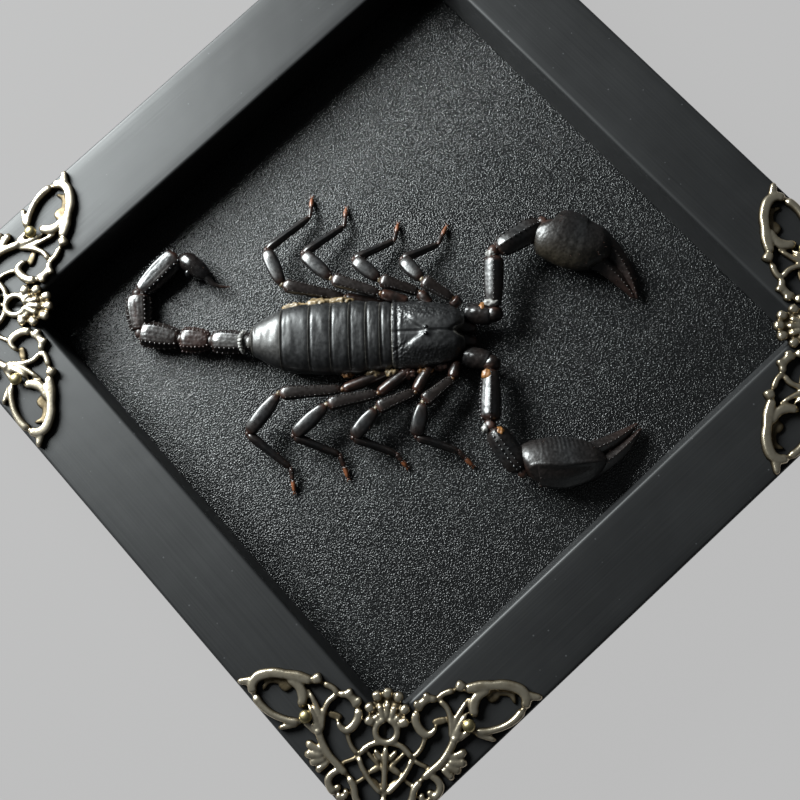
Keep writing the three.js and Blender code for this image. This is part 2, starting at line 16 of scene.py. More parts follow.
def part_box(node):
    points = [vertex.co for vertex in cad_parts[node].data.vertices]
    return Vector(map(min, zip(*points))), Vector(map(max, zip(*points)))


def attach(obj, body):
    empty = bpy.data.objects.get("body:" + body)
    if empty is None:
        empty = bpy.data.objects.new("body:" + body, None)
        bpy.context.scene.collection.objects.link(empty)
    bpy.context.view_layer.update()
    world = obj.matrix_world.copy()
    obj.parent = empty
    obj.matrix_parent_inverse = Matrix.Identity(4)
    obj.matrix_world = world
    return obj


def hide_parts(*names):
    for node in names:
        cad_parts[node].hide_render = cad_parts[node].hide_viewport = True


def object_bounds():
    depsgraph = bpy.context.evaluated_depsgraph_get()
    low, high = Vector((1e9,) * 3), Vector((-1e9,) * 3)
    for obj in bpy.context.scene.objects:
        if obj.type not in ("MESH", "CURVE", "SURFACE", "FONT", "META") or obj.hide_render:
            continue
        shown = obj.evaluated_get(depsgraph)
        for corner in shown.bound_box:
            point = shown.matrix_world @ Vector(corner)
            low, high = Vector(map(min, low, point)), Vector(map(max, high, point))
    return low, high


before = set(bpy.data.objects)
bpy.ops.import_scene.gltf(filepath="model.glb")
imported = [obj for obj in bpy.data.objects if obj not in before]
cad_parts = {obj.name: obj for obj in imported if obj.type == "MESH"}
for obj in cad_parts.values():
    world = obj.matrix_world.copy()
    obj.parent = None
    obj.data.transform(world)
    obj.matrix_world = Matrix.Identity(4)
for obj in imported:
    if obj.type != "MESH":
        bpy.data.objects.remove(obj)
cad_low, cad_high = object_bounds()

MM = 0.001
scene = bpy.context.scene
half_side = cad_high.x / MM
front_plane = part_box("rail_top_left")[1].z / MM
panel_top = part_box("leatherette_cover")[1].z / MM
print("solids:", len(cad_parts), "box in mm:", [round(v / MM, 1) for v in (*cad_low, *cad_high)])

# %% [markdown]
# ## Camera
# The photo looks almost straight down on the frame from close by, with the frame turned to a diamond. A
# camera can be set by angles, but a place, a point to look at and the heading of "up" are easier to read
# and to correct.

# %% Camera
CAMERA_PLACE = Vector((40.6, -21.7, 212.9)) * MM
CAMERA_TARGET = Vector((12.3, -12.5, 20.0)) * MM
CAMERA_UP_HEADING = math.radians(137.4)
CAMERA_LENS = 42.75

camera_data = bpy.data.cameras.new("camera")
camera_data.lens = CAMERA_LENS
camera_data.sensor_width = 36
camera_data.clip_start = 0.01
camera = bpy.data.objects.new("camera", camera_data)
scene.collection.objects.link(camera)
backward = (CAMERA_PLACE - CAMERA_TARGET).normalized()
up_hint = Vector((math.cos(CAMERA_UP_HEADING), math.sin(CAMERA_UP_HEADING), 0))
rightward = up_hint.cross(backward).normalized()
upward = backward.cross(rightward)
turn = Matrix((rightward, upward, backward)).transposed().to_4x4()
camera.matrix_world = Matrix.Translation(CAMERA_PLACE) @ turn
scene.camera = camera
print("camera looks from", [round(v / MM) for v in CAMERA_PLACE])

# %% [markdown]
# ## Nodes in a few words
# Every finish below is a node tree. One helper adds a node, sets its inputs, and links an input where it
# is given another node's output. That keeps each finish as a short list of what it is made of.

# %% Node helper
def add_node(tree, kind, inputs=(), **settings):
    node = tree.nodes.new(kind)
    for key, value in settings.items():
        setattr(node, key, value)
    for key, value in dict(inputs).items():
        if isinstance(value, bpy.types.NodeSocket):
            tree.links.new(value, node.inputs[key])
        else:
            node.inputs[key].default_value = value
    return node


def new_finish(name, **sockets):
    finish = bpy.data.materials.new(name)
    finish.use_nodes = True
    tree = finish.node_tree
    shader = tree.nodes["Principled BSDF"]
    for key, value in sockets.items():
        shader.inputs[key.replace("_", " ")].default_value = value
    return finish, tree, shader


def ramp(tree, factor, *stops):
    """A colour ramp: each stop is a place from 0 to 1 and a colour, or a grey value."""
    node = add_node(tree, "ShaderNodeValToRGB", {"Fac": factor})
    elements = node.color_ramp.elements
    while len(elements) < len(stops):
        elements.new(0.5)
    for element, (place, colour) in zip(elements, stops):
        element.position = place
        element.color = (*colour, 1) if isinstance(colour, tuple) else (colour, colour, colour, 1)
    return node.outputs["Color"]


def multiply(tree, first, second):
    node = add_node(tree, "ShaderNodeMix", data_type="RGBA", blend_type="MULTIPLY")
    node.inputs[0].default_value = 1
    tree.links.new(first, node.inputs[6])
    tree.links.new(second, node.inputs[7])
    return node.outputs[2]


def bump(tree, height, distance, strength=1.0, below=None):
    inputs = {"Height": height, "Distance": distance, "Strength": strength}
    if below is not None:
        inputs["Normal"] = below
    return add_node(tree, "ShaderNodeBump", inputs).outputs["Normal"]


def object_place(tree):
    return add_node(tree, "ShaderNodeTexCoord").outputs["Object"]


print("helpers ready")

# %% [markdown]
# ## Floor and light
# The pale floor only shows at the picture's corners. Part of its light is its own glow, so that it stays
# even while the frame still leaves a soft shadow on it. One large soft window-like light comes from the
# diamond's upper left and low enough to graze the panel. A dim grey world stands for the rest of the
# room.

# %% Floor, window light and room
FLOOR_HALF = 2.0
FLOOR_GLOW = 0.5
WINDOW_PLACE = Vector((-282, -66, 196)) * MM
WINDOW_AIM = Vector((-10, 0, 10)) * MM
WINDOW_SIZE = (0.24, 0.15)
WINDOW_POWER = 4.1
WINDOW_TINT = (0.94, 1.0, 1.0)
ROOM_LIGHT = 0.035

floor_mesh = bpy.data.meshes.new("floor")
floor_corners = [(-1, -1), (1, -1), (1, 1), (-1, 1)]
floor_mesh.from_pydata([(x * FLOOR_HALF, y * FLOOR_HALF, 0) for x, y in floor_corners], [], [(0, 1, 2, 3)])
floor = bpy.data.objects.new("floor", floor_mesh)
scene.collection.objects.link(floor)
floor_finish, _, floor_shader = new_finish("pale_floor", Base_Color=(0.012, 0.012, 0.012, 1), Roughness=1.0)
floor_shader.inputs["Specular IOR Level"].default_value = 0.0
floor_shader.inputs["Emission Color"].default_value = (1, 1, 1, 1)
floor_shader.inputs["Emission Strength"].default_value = FLOOR_GLOW
floor_mesh.materials.append(floor_finish)

window_data = bpy.data.lights.new("window", "AREA")
window_data.shape = "RECTANGLE"
window_data.size, window_data.size_y = WINDOW_SIZE
window_data.energy = WINDOW_POWER
window_data.color = WINDOW_TINT
window = bpy.data.objects.new("window", window_data)
scene.collection.objects.link(window)
window.location = WINDOW_PLACE
window.rotation_mode = "QUATERNION"
window.rotation_quaternion = (WINDOW_AIM - WINDOW_PLACE).to_track_quat("-Z", "Y")

world = bpy.data.worlds.new("room")
world.use_nodes = True
world.node_tree.nodes["Background"].inputs["Color"].default_value = (0.93, 0.97, 1.0, 1)
world.node_tree.nodes["Background"].inputs["Strength"].default_value = ROOM_LIGHT
scene.world = world
scene.view_settings.view_transform = "Standard"
print("window", WINDOW_POWER, "W, room", ROOM_LIGHT)

# %% [markdown]
# ## Skins over rings
# Rails, back plates, limbs and leaves are all closed skins over a row of rings. A ring is a loop of
# points, and the skin joins neighbouring rings with four-sided faces and closes both ends at a pole. Such
# skins could be drawn by hand, but a grid of numbers can be bent, beaded and grained before it becomes a
# mesh.

# %% Skins, pieces and grain
def skin(rings):
    """Points and faces of a closed skin over rings, an array of rings by points by 3."""
    count, around, _ = rings.shape
    points = np.vstack([rings.reshape(-1, 3), rings[0].mean(0), rings[-1].mean(0)])
    row = np.arange(count - 1)[:, None] * around
    here = np.arange(around)[None, :]
    beside = (here + 1) % around
    quads = np.stack([row + here, row + beside, row + around + beside, row + around + here], -1)
    last = (count - 1) * around
    start_fan = [(count * around, int(b), int(a)) for a, b in zip(here[0], beside[0])]
    end_fan = [(count * around + 1, last + int(a), last + int(b)) for a, b in zip(here[0], beside[0])]
    return points, quads.reshape(-1, 4).tolist() + start_fan + end_fan


def new_piece(name, points, faces, finish, attributes=()):
    """A mesh object from points in metres, faces turned outwards, with its named attributes."""
    mesh = bpy.data.meshes.new(name)
    mesh.from_pydata(points.tolist(), [], faces)
    for key, values in dict(attributes).items():
        kind = "FLOAT_COLOR" if values.shape[-1] == 4 else "FLOAT_VECTOR" if values.ndim > 1 else "FLOAT"
        field = {"FLOAT_COLOR": "color", "FLOAT_VECTOR": "vector", "FLOAT": "value"}[kind]
        mesh.attributes.new(key, kind, "POINT").data.foreach_set(field, values.astype(np.float32).ravel())
    shell = bmesh.new()
    shell.from_mesh(mesh)
    bmesh.ops.recalc_face_normals(shell, faces=shell.faces)
    shell.to_mesh(mesh)
    shell.free()
    mesh.shade_smooth()
    mesh.materials.append(finish)
    piece = bpy.data.objects.new(name, mesh)
    scene.collection.objects.link(piece)
    return piece


def hand_over(piece, slot, *nodes):
    """The finished piece rides on the one body and stands for its plain solids. The slot is not used."""
    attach(piece, "root")
    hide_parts(*nodes)
    print(piece.name, len(piece.data.polygons), "faces")


def swell(points, size, seed=0.0):
    """Smooth noise from -1 to 1 at each point, with lumps of about that size."""
    shift = Vector((seed * 3.1, seed * 1.7, seed * 2.3))
    return np.array([noise.noise(Vector(p) / size + shift) for p in points.reshape(-1,
        3)]).reshape(points.shape[:-1])


def grains(points, size, seed=0.0):
    """Rounded grains from 0 to 1 at each point, each about that wide."""
    shift = Vector((seed * 1.3, seed * 2.9, seed * 0.7))
    near = [noise.voronoi(Vector(p) / size + shift)[0][0] for p in points.reshape(-1, 3)]
    return np.clip(1 - (np.array(near) / 0.62) ** 2, 0, 1).reshape(points.shape[:-1])


print("skin helpers ready")

# %% [markdown]
# ## Black paint
# The rails carry a thin satin black paint over wood. Fine brush marks run along each rail, and a few
# specks of dust sit in them. Each rail keeps its own coordinates, along and across, in an attribute, so
# that one finish follows four rails.

# %% Painted wood finish
painted_wood, tree, shader = new_finish("painted_wood", Specular_IOR_Level=0.5)
rail_place = add_node(tree, "ShaderNodeAttribute", attribute_name="rail_place").outputs["Vector"]
stretched = add_node(tree, "ShaderNodeMapping", {"Vector": rail_place, "Scale": (0.02, 1.6, 1.6)})
brush_marks = add_node(
    tree, "ShaderNodeTexNoise", {"Vector": stretched.outputs["Vector"], "Scale": 2.2, "Detail": 5.0}
).outputs["Fac"]
clouds = add_node(
    tree, "ShaderNodeTexNoise", {"Vector": rail_place, "Scale": 0.08, "Detail": 4.0}
).outputs["Fac"]
specks = add_node(tree, "ShaderNodeTexVoronoi", {"Vector": rail_place, "Scale": 0.32}).outputs["Distance"]
paint_tone = ramp(tree, clouds, (0.3, (0.011, 0.0112, 0.0118)), (0.7, (0.016, 0.0163, 0.017)))
speck_tone = ramp(tree, specks, (0.0, 4.0), (0.04, 4.0), (0.065, 1.0))
tree.links.new(multiply(tree, paint_tone, speck_tone), shader.inputs["Base Color"])
tree.links.new(ramp(tree, brush_marks, (0.3, 0.46), (0.7, 0.53)), shader.inputs["Roughness"])
paint_relief = bump(tree, brush_marks, 0.03 * MM, 0.4)
tree.links.new(bump(tree, clouds, 0.1 * MM, 0.3, paint_relief), shader.inputs["Normal"])
print("painted wood ready")

# %% [markdown]
# ## Rails
# Each rail is an L-shaped section drawn along one side and mitred at both ends, with hand-sanded front
# edges. A bevelled box would do, but a drawn section lets the sanded edge wander a little, as a real one
# does.

# %% Rails
RAIL_WIDTH = 17.4
RABBET_WIDTH = 5.4
EDGE_ROUND = 0.8
BACK_ROUND = 0.4
MITRE_GAP = 0.03
RAIL_STEPS = 90
RAIL_SIDES = ["bottom_left", "bottom_right", "top_right", "top_left"]


def rounded(corner, before, after, radius, steps=5):
    """Points of an arc that rounds a corner of a section between the two points beside it."""
    corner, before, after = (np.array(p, float) for p in (corner, before, after))
    start = corner + (before - corner) / np.linalg.norm(before - corner) * radius
    end = corner + (after - corner) / np.linalg.norm(after - corner) * radius
    t = np.linspace(0, 1, steps)[:, None]
    return (1 - t) ** 2 * start + 2 * t * (1 - t) * corner + t**2 * end


def filled(points, spacing=2.0):
    """The closed section with more points along its straight stretches."""
    out = []
    for here, following in zip(points, np.roll(points, -1, 0)):
        pieces = max(1, int(np.linalg.norm(following - here) / spacing))
        out += [here + (following - here) * i / pieces for i in range(pieces)]
    return np.array(out)


rail_corners = [
    ((0, 0), BACK_ROUND),
    ((0, front_plane), EDGE_ROUND),
    ((RAIL_WIDTH, front_plane), EDGE_ROUND),
    ((RAIL_WIDTH, panel_top), BACK_ROUND),
    ((RAIL_WIDTH - RABBET_WIDTH, panel_top), BACK_ROUND),
    ((RAIL_WIDTH - RABBET_WIDTH, 0), BACK_ROUND),
]
section = []
for i, (corner, radius) in enumerate(rail_corners):
    before = rail_corners[i - 1][0]
    after = rail_corners[(i + 1) % len(rail_corners)][0]
    section.append(rounded(corner, before, after, radius))
section = filled(np.vstack(section))

for number, side in enumerate(RAIL_SIDES):
    inset, height = section[None, :, 0], section[None, :, 1]
    reach = np.linspace(-1, 1, RAIL_STEPS)[:, None]
    along = reach * (half_side - inset - MITRE_GAP)
    grid = np.stack(np.broadcast_arrays(along, inset, height), -1)
    wander = 0.05 * swell(grid / np.array([6.0, 2.0, 2.0]), 1.0, number + 1)
    softness = np.exp(-((height - front_plane) / 2.0) ** 2)
    grid[..., 2] -= np.abs(wander) * softness
    rings = np.stack([grid[..., 0], grid[..., 1] - half_side, grid[..., 2]], -1)
    points, faces = skin(rings)
    spun = Matrix.Rotation(number * math.pi / 2, 3, "Z")
    local = np.vstack([grid.reshape(-1, 3), grid[0].mean(0), grid[-1].mean(0)])
    rail = new_piece(
        "painted_rail_" + side,
        points @ np.array(spun).T * MM,
        faces,
        painted_wood,
        {"rail_place": local + np.array([number * 211.0, 0, 0])},
    )
    hand_over(rail, "black_paint", "rail_" + side)

# %% [markdown]
# ## Leatherette
# The panel is covered with black leatherette, a sheet with a pressed grain of half-millimetre pebbles.
# The grain is too fine for a mesh, so it is bump on Object coordinates. The sheet's slow unevenness and
# the faint creases at its stretched corners are real shape.

# %% Leatherette finish
GRAIN_SIZE = 0.36

leatherette, tree, shader = new_finish("black_leatherette", Specular_IOR_Level=0.55)
place = object_place(tree)
drift = add_node(tree, "ShaderNodeTexNoise",
                 {"Vector": place, "Scale": 1.1 / (GRAIN_SIZE * MM), "Detail": 2.0})
bent = add_node(tree, "ShaderNodeVectorMath", {0: drift.outputs["Color"], 1: (0.5, 0.5, 0.5)},
                operation="SUBTRACT")
nudge = add_node(tree, "ShaderNodeVectorMath", {0: bent.outputs[0]}, operation="SCALE")
nudge.inputs["Scale"].default_value = 0.8 * GRAIN_SIZE * MM
warped = add_node(tree, "ShaderNodeVectorMath", {0: place, 1: nudge.outputs[0]}, operation="ADD").outputs[0]
pebbles = add_node(
    tree,
    "ShaderNodeTexVoronoi",
    {"Vector": warped, "Scale": 1 / (GRAIN_SIZE * MM), "Smoothness": 0.35},
    feature="SMOOTH_F1",
).outputs["Distance"]
domes = ramp(tree, pebbles, (0.05, 1.0), (0.62, 0.0))
patches = add_node(tree, "ShaderNodeTexNoise", {"Vector": place, "Scale": 60.0, "Detail": 3.0}).outputs["Fac"]
leather_tone = ramp(tree, patches, (0.3, (0.0038, 0.004, 0.0043)), (0.7, (0.0055, 0.0058, 0.0062)))
tree.links.new(leather_tone, shader.inputs["Base Color"])
tree.links.new(ramp(tree, domes, (0.1, 0.33), (0.9, 0.2)), shader.inputs["Roughness"])
tree.links.new(bump(tree, domes, 0.11 * MM, 1.0), shader.inputs["Normal"])
print("leatherette ready")

# %% Leatherette sheet
SHEET_STEPS = 110
CREASE_DEPTH = 0.05

low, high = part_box("leatherette_cover")
sheet_half = high.x / MM
sheet_bottom = low.z / MM
steps = np.linspace(-sheet_half, sheet_half, SHEET_STEPS)
across, along = np.meshgrid(steps, steps, indexing="ij")
flat = np.stack([across, along, np.zeros_like(across)], -1)
waves = 0.05 * swell(flat, 22.0, 3) + 0.02 * swell(flat, 7.0, 4)
corner_pull = np.clip((np.abs(across) + np.abs(along)) / sheet_half - 1.05, 0, 1)
diagonal = np.where(across * along > 0, across - along, across + along)
creases = CREASE_DEPTH * corner_pull * (np.sin(diagonal / 1.9 + 1.5 * swell(flat, 14.0, 5)) - 1)
top = flat + np.array([0, 0, panel_top])
top[..., 2] += waves - 0.07 + creases
under = flat[:, ::-1] + np.array([0, 0, sheet_bottom])
points, faces = skin(np.concatenate([top, under], 1))
cover = new_piece("leatherette_panel", points * MM, faces, leatherette)
hand_over(cover, "leatherette", "leatherette_cover")

# %% [markdown]
# ## Board and points at the back
# Behind the leatherette is a raw fibreboard, held in the rabbet by flat steel points. Their plain solids
# have the right shape already, so they only get a finish.

# %% Board and steel finishes
fibreboard, tree, shader = new_finish("raw_fibreboard", Roughness=0.85)
place = object_place(tree)
fibres = add_node(tree, "ShaderNodeTexNoise",
                  {"Vector": place, "Scale": 900.0, "Detail": 6.0, "Distortion": 2.0})
fibre_tone = ramp(tree, fibres.outputs["Fac"], (0.3, (0.11, 0.075, 0.045)), (0.7, (0.23, 0.165, 0.105)))
tree.links.new(fibre_tone, shader.inputs["Base Color"])
tree.links.new(bump(tree, fibres.outputs["Fac"], 0.08 * MM, 0.6), shader.inputs["Normal"])

strip_steel, tree, shader = new_finish("strip_steel", Metallic=1.0)
place = object_place(tree)
scuffs = add_node(tree, "ShaderNodeTexNoise",
                  {"Vector": place, "Scale": 1500.0, "Detail": 4.0}).outputs["Fac"]
tree.links.new(ramp(tree, scuffs, (0.3, (0.33, 0.33, 0.32)), (0.7, (0.5, 0.5, 0.49))),
               shader.inputs["Base Color"])
tree.links.new(ramp(tree, scuffs, (0.3, 0.32), (0.7, 0.5)), shader.inputs["Roughness"])

for name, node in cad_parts.items():
    if name == "backing_board" or name.startswith("board_point"):
        node.data.materials.clear()
        node.data.materials.append(fibreboard if name == "backing_board" else strip_steel)
print("board and points finished")

# %% [markdown]
# ## Antique bronze and brass
# The corner ornaments are cast, plated and rubbed: bright where a thumb would touch, nearly black in the
# recesses. How much a place is rubbed is kept in an attribute that the ornament gets from its own height.
# The nails are plain dull brass.

# %% Bronze and brass finishes
antique_bronze, tree, shader = new_finish("antique_bronze", Metallic=0.9)
rubbed = add_node(tree, "ShaderNodeAttribute", attribute_name="rubbed").outputs["Fac"]
place = object_place(tree)
pits = add_node(tree, "ShaderNodeTexNoise", {"Vector": place, "Scale": 1900.0, "Detail": 5.0}).outputs["Fac"]
blotch = add_node(tree, "ShaderNodeTexNoise", {"Vector": place, "Scale": 420.0, "Detail": 4.0}).outputs["Fac"]
worn = add_node(tree, "ShaderNodeMath", {0: blotch, 1: 0.5}, operation="SUBTRACT").outputs[0]
rub = add_node(tree, "ShaderNodeMath", {0: worn, 1: 0.9, 2: rubbed}, operation="MULTIPLY_ADD").outputs[0]
bronze_tone = ramp(
    tree,
    rub,
    (0.12, (0.018, 0.014, 0.009)),
    (0.45, (0.15, 0.115, 0.068)),
    (0.72, (0.40, 0.335, 0.235)),
    (0.95, (0.62, 0.545, 0.42)),
)
tree.links.new(bronze_tone, shader.inputs["Base Color"])
tree.links.new(ramp(tree, rub, (0.2, 0.6), (0.8, 0.3)), shader.inputs["Roughness"])
tree.links.new(bump(tree, pits, 0.06 * MM, 0.5), shader.inputs["Normal"])

dull_brass, tree, shader = new_finish("dull_brass", Metallic=1.0)
place = object_place(tree)
tarnish = add_node(tree, "ShaderNodeTexNoise",
                   {"Vector": place, "Scale": 900.0, "Detail": 5.0}).outputs["Fac"]
tree.links.new(
    ramp(tree, tarnish, (0.3, (0.22, 0.18, 0.085)), (0.65, (0.52, 0.45, 0.25))), shader.inputs["Base Color"]
)
tree.links.new(ramp(tree, tarnish, (0.3, 0.5), (0.7, 0.33)), shader.inputs["Roughness"])
tree.links.new(bump(tree, tarnish, 0.08 * MM, 0.5), shader.inputs["Normal"])
print("bronze and brass ready")

# %% [markdown]
# ## Filigree strands
# An ornament is a net of rounded strands, and every strand follows a path. Geometry Nodes draw them: each
# path is a chain of points that carry a half width and a height, a half-round profile runs along it, and
# the height is then set on its own, so that a thin strand is as tall as a wide one.

# %% Geometry Nodes tree for strands
PROFILE_POINTS = 16
STRAND_FLATNESS = 2.2


def group_socket(tree, name, kind, way="INPUT"):
    tree.interface.new_socket(name, in_out=way, socket_type=kind)


def named_value(tree, name):
    node = add_node(tree, "GeometryNodeInputNamedAttribute", {"Name": name}, data_type="FLOAT")
    return node.outputs["Attribute"]


def strand_tree(finish):
    tree = bpy.data.node_groups.new("filigree_strands", "GeometryNodeTree")
    group_socket(tree, "Geometry", "NodeSocketGeometry")
    group_socket(tree, "Profile Points", "NodeSocketInt")
    group_socket(tree, "Flatness", "NodeSocketFloat")
    group_socket(tree, "Geometry", "NodeSocketGeometry", "OUTPUT")
    start = add_node(tree, "NodeGroupInput")
    paths = add_node(tree, "GeometryNodeMeshToCurve", {"Mesh": start.outputs["Geometry"]})
    flat = add_node(tree, "GeometryNodeSetCurveNormal", {"Curve": paths.outputs[0]}, mode="Z_UP")
    ring = add_node(tree, "GeometryNodeCurvePrimitiveCircle", {"Resolution": start.outputs["Profile Points"]})
    bars = add_node(
        tree,
        "GeometryNodeCurveToMesh",
        {
            "Curve": flat.outputs["Curve"],
            "Profile Curve": ring.outputs["Curve"],
            "Scale": named_value(tree, "half_width"),
            "Fill Caps": True,
        },
    )
    spot = add_node(tree, "GeometryNodeInputPosition").outputs[0]
    parts = add_node(tree, "ShaderNodeSeparateXYZ", {0: spot})
    share = add_node(
        tree, "ShaderNodeMath", {0: parts.outputs["Z"], 1: named_value(tree, "half_width")},
        operation="DIVIDE"
    )
    above = add_node(tree, "ShaderNodeMath", {0: share.outputs[0], 1: 0.0}, operation="MAXIMUM")
    left_over = add_node(tree, "ShaderNodeMath", {0: 1.0, 1: above.outputs[0]}, operation="SUBTRACT",
                         use_clamp=True)
    fall = add_node(
        tree, "ShaderNodeMath", {0: left_over.outputs[0], 1: start.outputs["Flatness"]}, operation="POWER"
    )
    full = add_node(tree, "ShaderNodeMath", {0: 1.0, 1: fall.outputs[0]}, operation="SUBTRACT")
    tall = add_node(
        tree, "ShaderNodeMath", {0: full.outputs[0], 1: named_value(tree, "height")}, operation="MULTIPLY"
    )
    place = add_node(
        tree,
        "ShaderNodeCombineXYZ",
        {"X": parts.outputs["X"], "Y": parts.outputs["Y"], "Z": tall.outputs[0]},
    )
    raised = add_node(
        tree, "GeometryNodeSetPosition", {"Geometry": bars.outputs[0], "Position": place.outputs[0]}
    )
    real = add_node(tree, "GeometryNodeRealizeInstances", {"Geometry": raised.outputs[0]})
    clad = add_node(tree, "GeometryNodeSetMaterial", {"Geometry": real.outputs[0], "Material": finish})
    finish_node = add_node(tree, "NodeGroupOutput")
    tree.links.new(clad.outputs[0], finish_node.inputs["Geometry"])
    return tree


def set_input(modifier, name, value):
    for item in modifier.node_group.interface.items_tree:
        if item.name == name and item.in_out == "INPUT":
            modifier[item.identifier] = value


def plain_mesh(carrier, name):
    """The carrier's evaluated result as a mesh of its own, the carrier being removed."""
    graph = bpy.context.evaluated_depsgraph_get()
    mesh = bpy.data.meshes.new_from_object(carrier.evaluated_get(graph))
    mesh.name = name
    bpy.data.objects.remove(carrier)
    return mesh


strands = strand_tree(antique_bronze)
print("strand tree has", len(strands.nodes), "nodes")

# %% [markdown]
# ## One ornament
# A place in the ornament is a distance from the frame's corner along its diagonal and a distance to the
# side. One half is listed, and the other is its mirror image. Leaves, lobes and petals are short fat
# strands. A cast piece has no seams, so the strands are then melted into one surface: a voxel remesh
# joins them and a little smoothing leaves the soft edges of a casting.

# %% Paths of the ornament
STRAND_HEIGHT = 1.5
STRAND_FULLNESS = 0.2
VOXEL = 0.215

# path, half width at its start, middle and end, height
HALF_PATHS = [
    # leaf loop with its tip, calyx and knob
    ([(23.9, 16.7), (24.2, 19.9), (25.2, 22.8), (26.7, 25), (28.7, 26.6)], (0.5, 0.5, 0.7), 1.5),
    ([(28.7, 26.6), (30.5, 27), (32.2, 25.9), (33, 22.8), (32.6, 19.6)], (0.75, 0.95, 0.8), 1.6),
    ([(31.2, 27), (31.1, 28.6), (31, 30.1)], (0.9, 0.6, 0.35), 1.4),
    ([(33, 22.5), (32.7, 19.5), (32.3, 17), (31.7, 14.8)], (0.6, 1.0, 0.7), 1.6),
    ([(31.9, 15.2), (32.4, 14), (32.7, 13.2)], (0.6, 0.95, 0.8), 1.9),
    ([(32.4, 20.4), (30.6, 17.6), (28.6, 16.8), (26.6, 17.2)], (0.5, 0.95, 0.7), 1.5),
    # comma leaf, a thin low plate in the loop
    ([(29.4, 24.9), (31.1, 24.2), (31.7, 22.6), (31.3, 20.6), (30, 19.2)], (0.2, 0.75, 0.6), 0.6),
    ([(31.4, 21.8), (30.6, 20.6), (29.7, 19.6)], (0.6, 1.0, 0.6), 0.6),
    # links and the C scroll with its lobes
    ([(31.6, 13.2), (30.7, 10.9), (29.5, 9.7)], (0.5, 0.42, 0.5), 1.2),
    ([(29.6, 9.9), (28.2, 11.6), (26.3, 12.4), (24.1, 12.7), (22.4, 12.7)], (0.45, 0.42, 0.5), 1.3),
    ([(29.5, 9.9), (29.6, 8), (28.6, 6.6), (27.1, 5.8)], (0.5, 0.65, 0.75), 1.5),
    ([(27.1, 5.8), (25.6, 5.6), (23.9, 6.4), (22.9, 7.7), (23.3, 8.9), (24.6, 9.8)], (0.75, 0.75, 0.2), 1.5),
    ([(29.3, 8.2), (30, 7.5), (30.2, 6.9)], (0.6, 0.7, 0.5), 1.6),
    ([(28, 6.6), (28.5, 5.7), (28.7, 5.1)], (0.6, 0.65, 0.45), 1.6),
    ([(25.9, 12), (25.4, 10.2), (25.1, 8.8)], (0.5, 0.65, 0.4), 0.7),
    # strands that gather into the stem
    ([(30.2, 15.8), (26.7, 13.8), (24.1, 12.9), (22.2, 12.9)], (0.25, 0.5, 0.45), 1.3),
    ([(27.4, 15.6), (24.8, 14.2), (22.6, 13.5)], (0.3, 0.4, 0.4), 1.5),
    ([(24.6, 14.2), (22.4, 13.4), (20, 12.3), (17.9, 10.9), (16.1, 9), (14.4, 7.2)], (0.75, 0.6, 0.55), 1.5),
    ([(14.4, 7.2), (12.5, 5.9), (10.2, 5.3), (7.6, 3.2), (5, 0.6)], (0.55, 0.6, 0.6), 1.5),
    ([(22.1, 14.3), (22.6, 12.5)], (0.35, 0.4, 0.35), 1.7),
    ([(24.2, 16.4), (23.1, 15), (22, 13.8)], (0.5, 0.45, 0.4), 1.3),
    ([(22.5, 21.4), (23, 19.6), (23.7, 17)], (0.3, 0.42, 0.5), 1.2),
    ([(22.6, 7.6), (21.4, 7.4), (19.7, 6.6), (18.2, 5.2)], (0.4, 0.3, 0.35), 1.1),
    # shell of lobes on the outer edge
    ([(18.6, 11.9), (19.3, 14), (20.2, 15.7)], (0.3, 0.6, 0.7), 1.4),
    ([(18, 11.9), (17.9, 14), (18, 15.9)], (0.3, 0.55, 0.75), 1.5),
    ([(17.4, 11.4), (16.8, 13.2), (16.3, 14.8)], (0.3, 0.55, 0.7), 1.4),
    ([(16.8, 10.8), (15.8, 12.2), (14.8, 13.4)], (0.3, 0.5, 0.6), 1.3),
    # volute and its eye
    ([(15.4, 8.7), (14.7, 10.1), (13.5, 10.9), (12, 10.5), (10.8, 9.3)], (0.5, 0.65, 0.6), 1.5),
    ([(10.8, 9.3), (10.3, 8.2), (10.9, 7.4), (12, 7.5)], (0.6, 0.5, 0.35), 1.4),
    ([(12.5, 9.5), (11.9, 9), (11.5, 8.6)], (0.4, 0.65, 0.45), 1.2),
    ([(9.6, 5.4), (7.6, 5.9), (6, 5.2)], (0.45, 0.6, 0.3), 1.2),
    # lattice of the spade
    ([(21, 0), (20.7, 2.3), (19.7, 4), (18.2, 5.2)], (0.42, 0.42, 0.42), 1.3),
    ([(18.2, 5.2), (16.4, 4.6), (14.6, 3.5), (12.8, 2), (11.2, 0.3)], (0.4, 0.38, 0.38), 1.3),
    ([(16.6, 8.6), (17.2, 6.9), (17.9, 5.4)], (0.28, 0.28, 0.28), 0.9),
    ([(12.9, 5.9), (13.5, 4.8), (14.4, 3.5)], (0.28, 0.28, 0.28), 0.9),
    ([(19.4, 3.9), (17.8, 2.5), (16, 0.6)], (0.26, 0.26, 0.26), 0.9),
    ([(19.6, 2.2), (18.6, 1.5), (17.4, 0.7)], (0.2, 0.42, 0.26), 1.1),
    ([(15, 3.2), (15.8, 1.9), (16.4, 0.5)], (0.3, 0.55, 0.3), 1.0),
    ([(14.2, 3), (13.4, 1.8), (12.4, 0.6)], (0.2, 0.35, 0.2), 0.8),
]
MIDDLE_PATHS = [
    ([(20.9, 0), (16, 0), (11, 0)], (0.42, 0.45, 0.42), 1.3),
    ([(11.2, 0), (8, 0), (4.6, 0)], (0.5, 0.8, 0.9), 1.5),
    ([(6.4, -1.6), (5, 0), (6.4, 1.6)], (0.35, 0.6, 0.35), 1.2),
]
RING_PLACE = 23.1
RING_RADIUS = 2.15
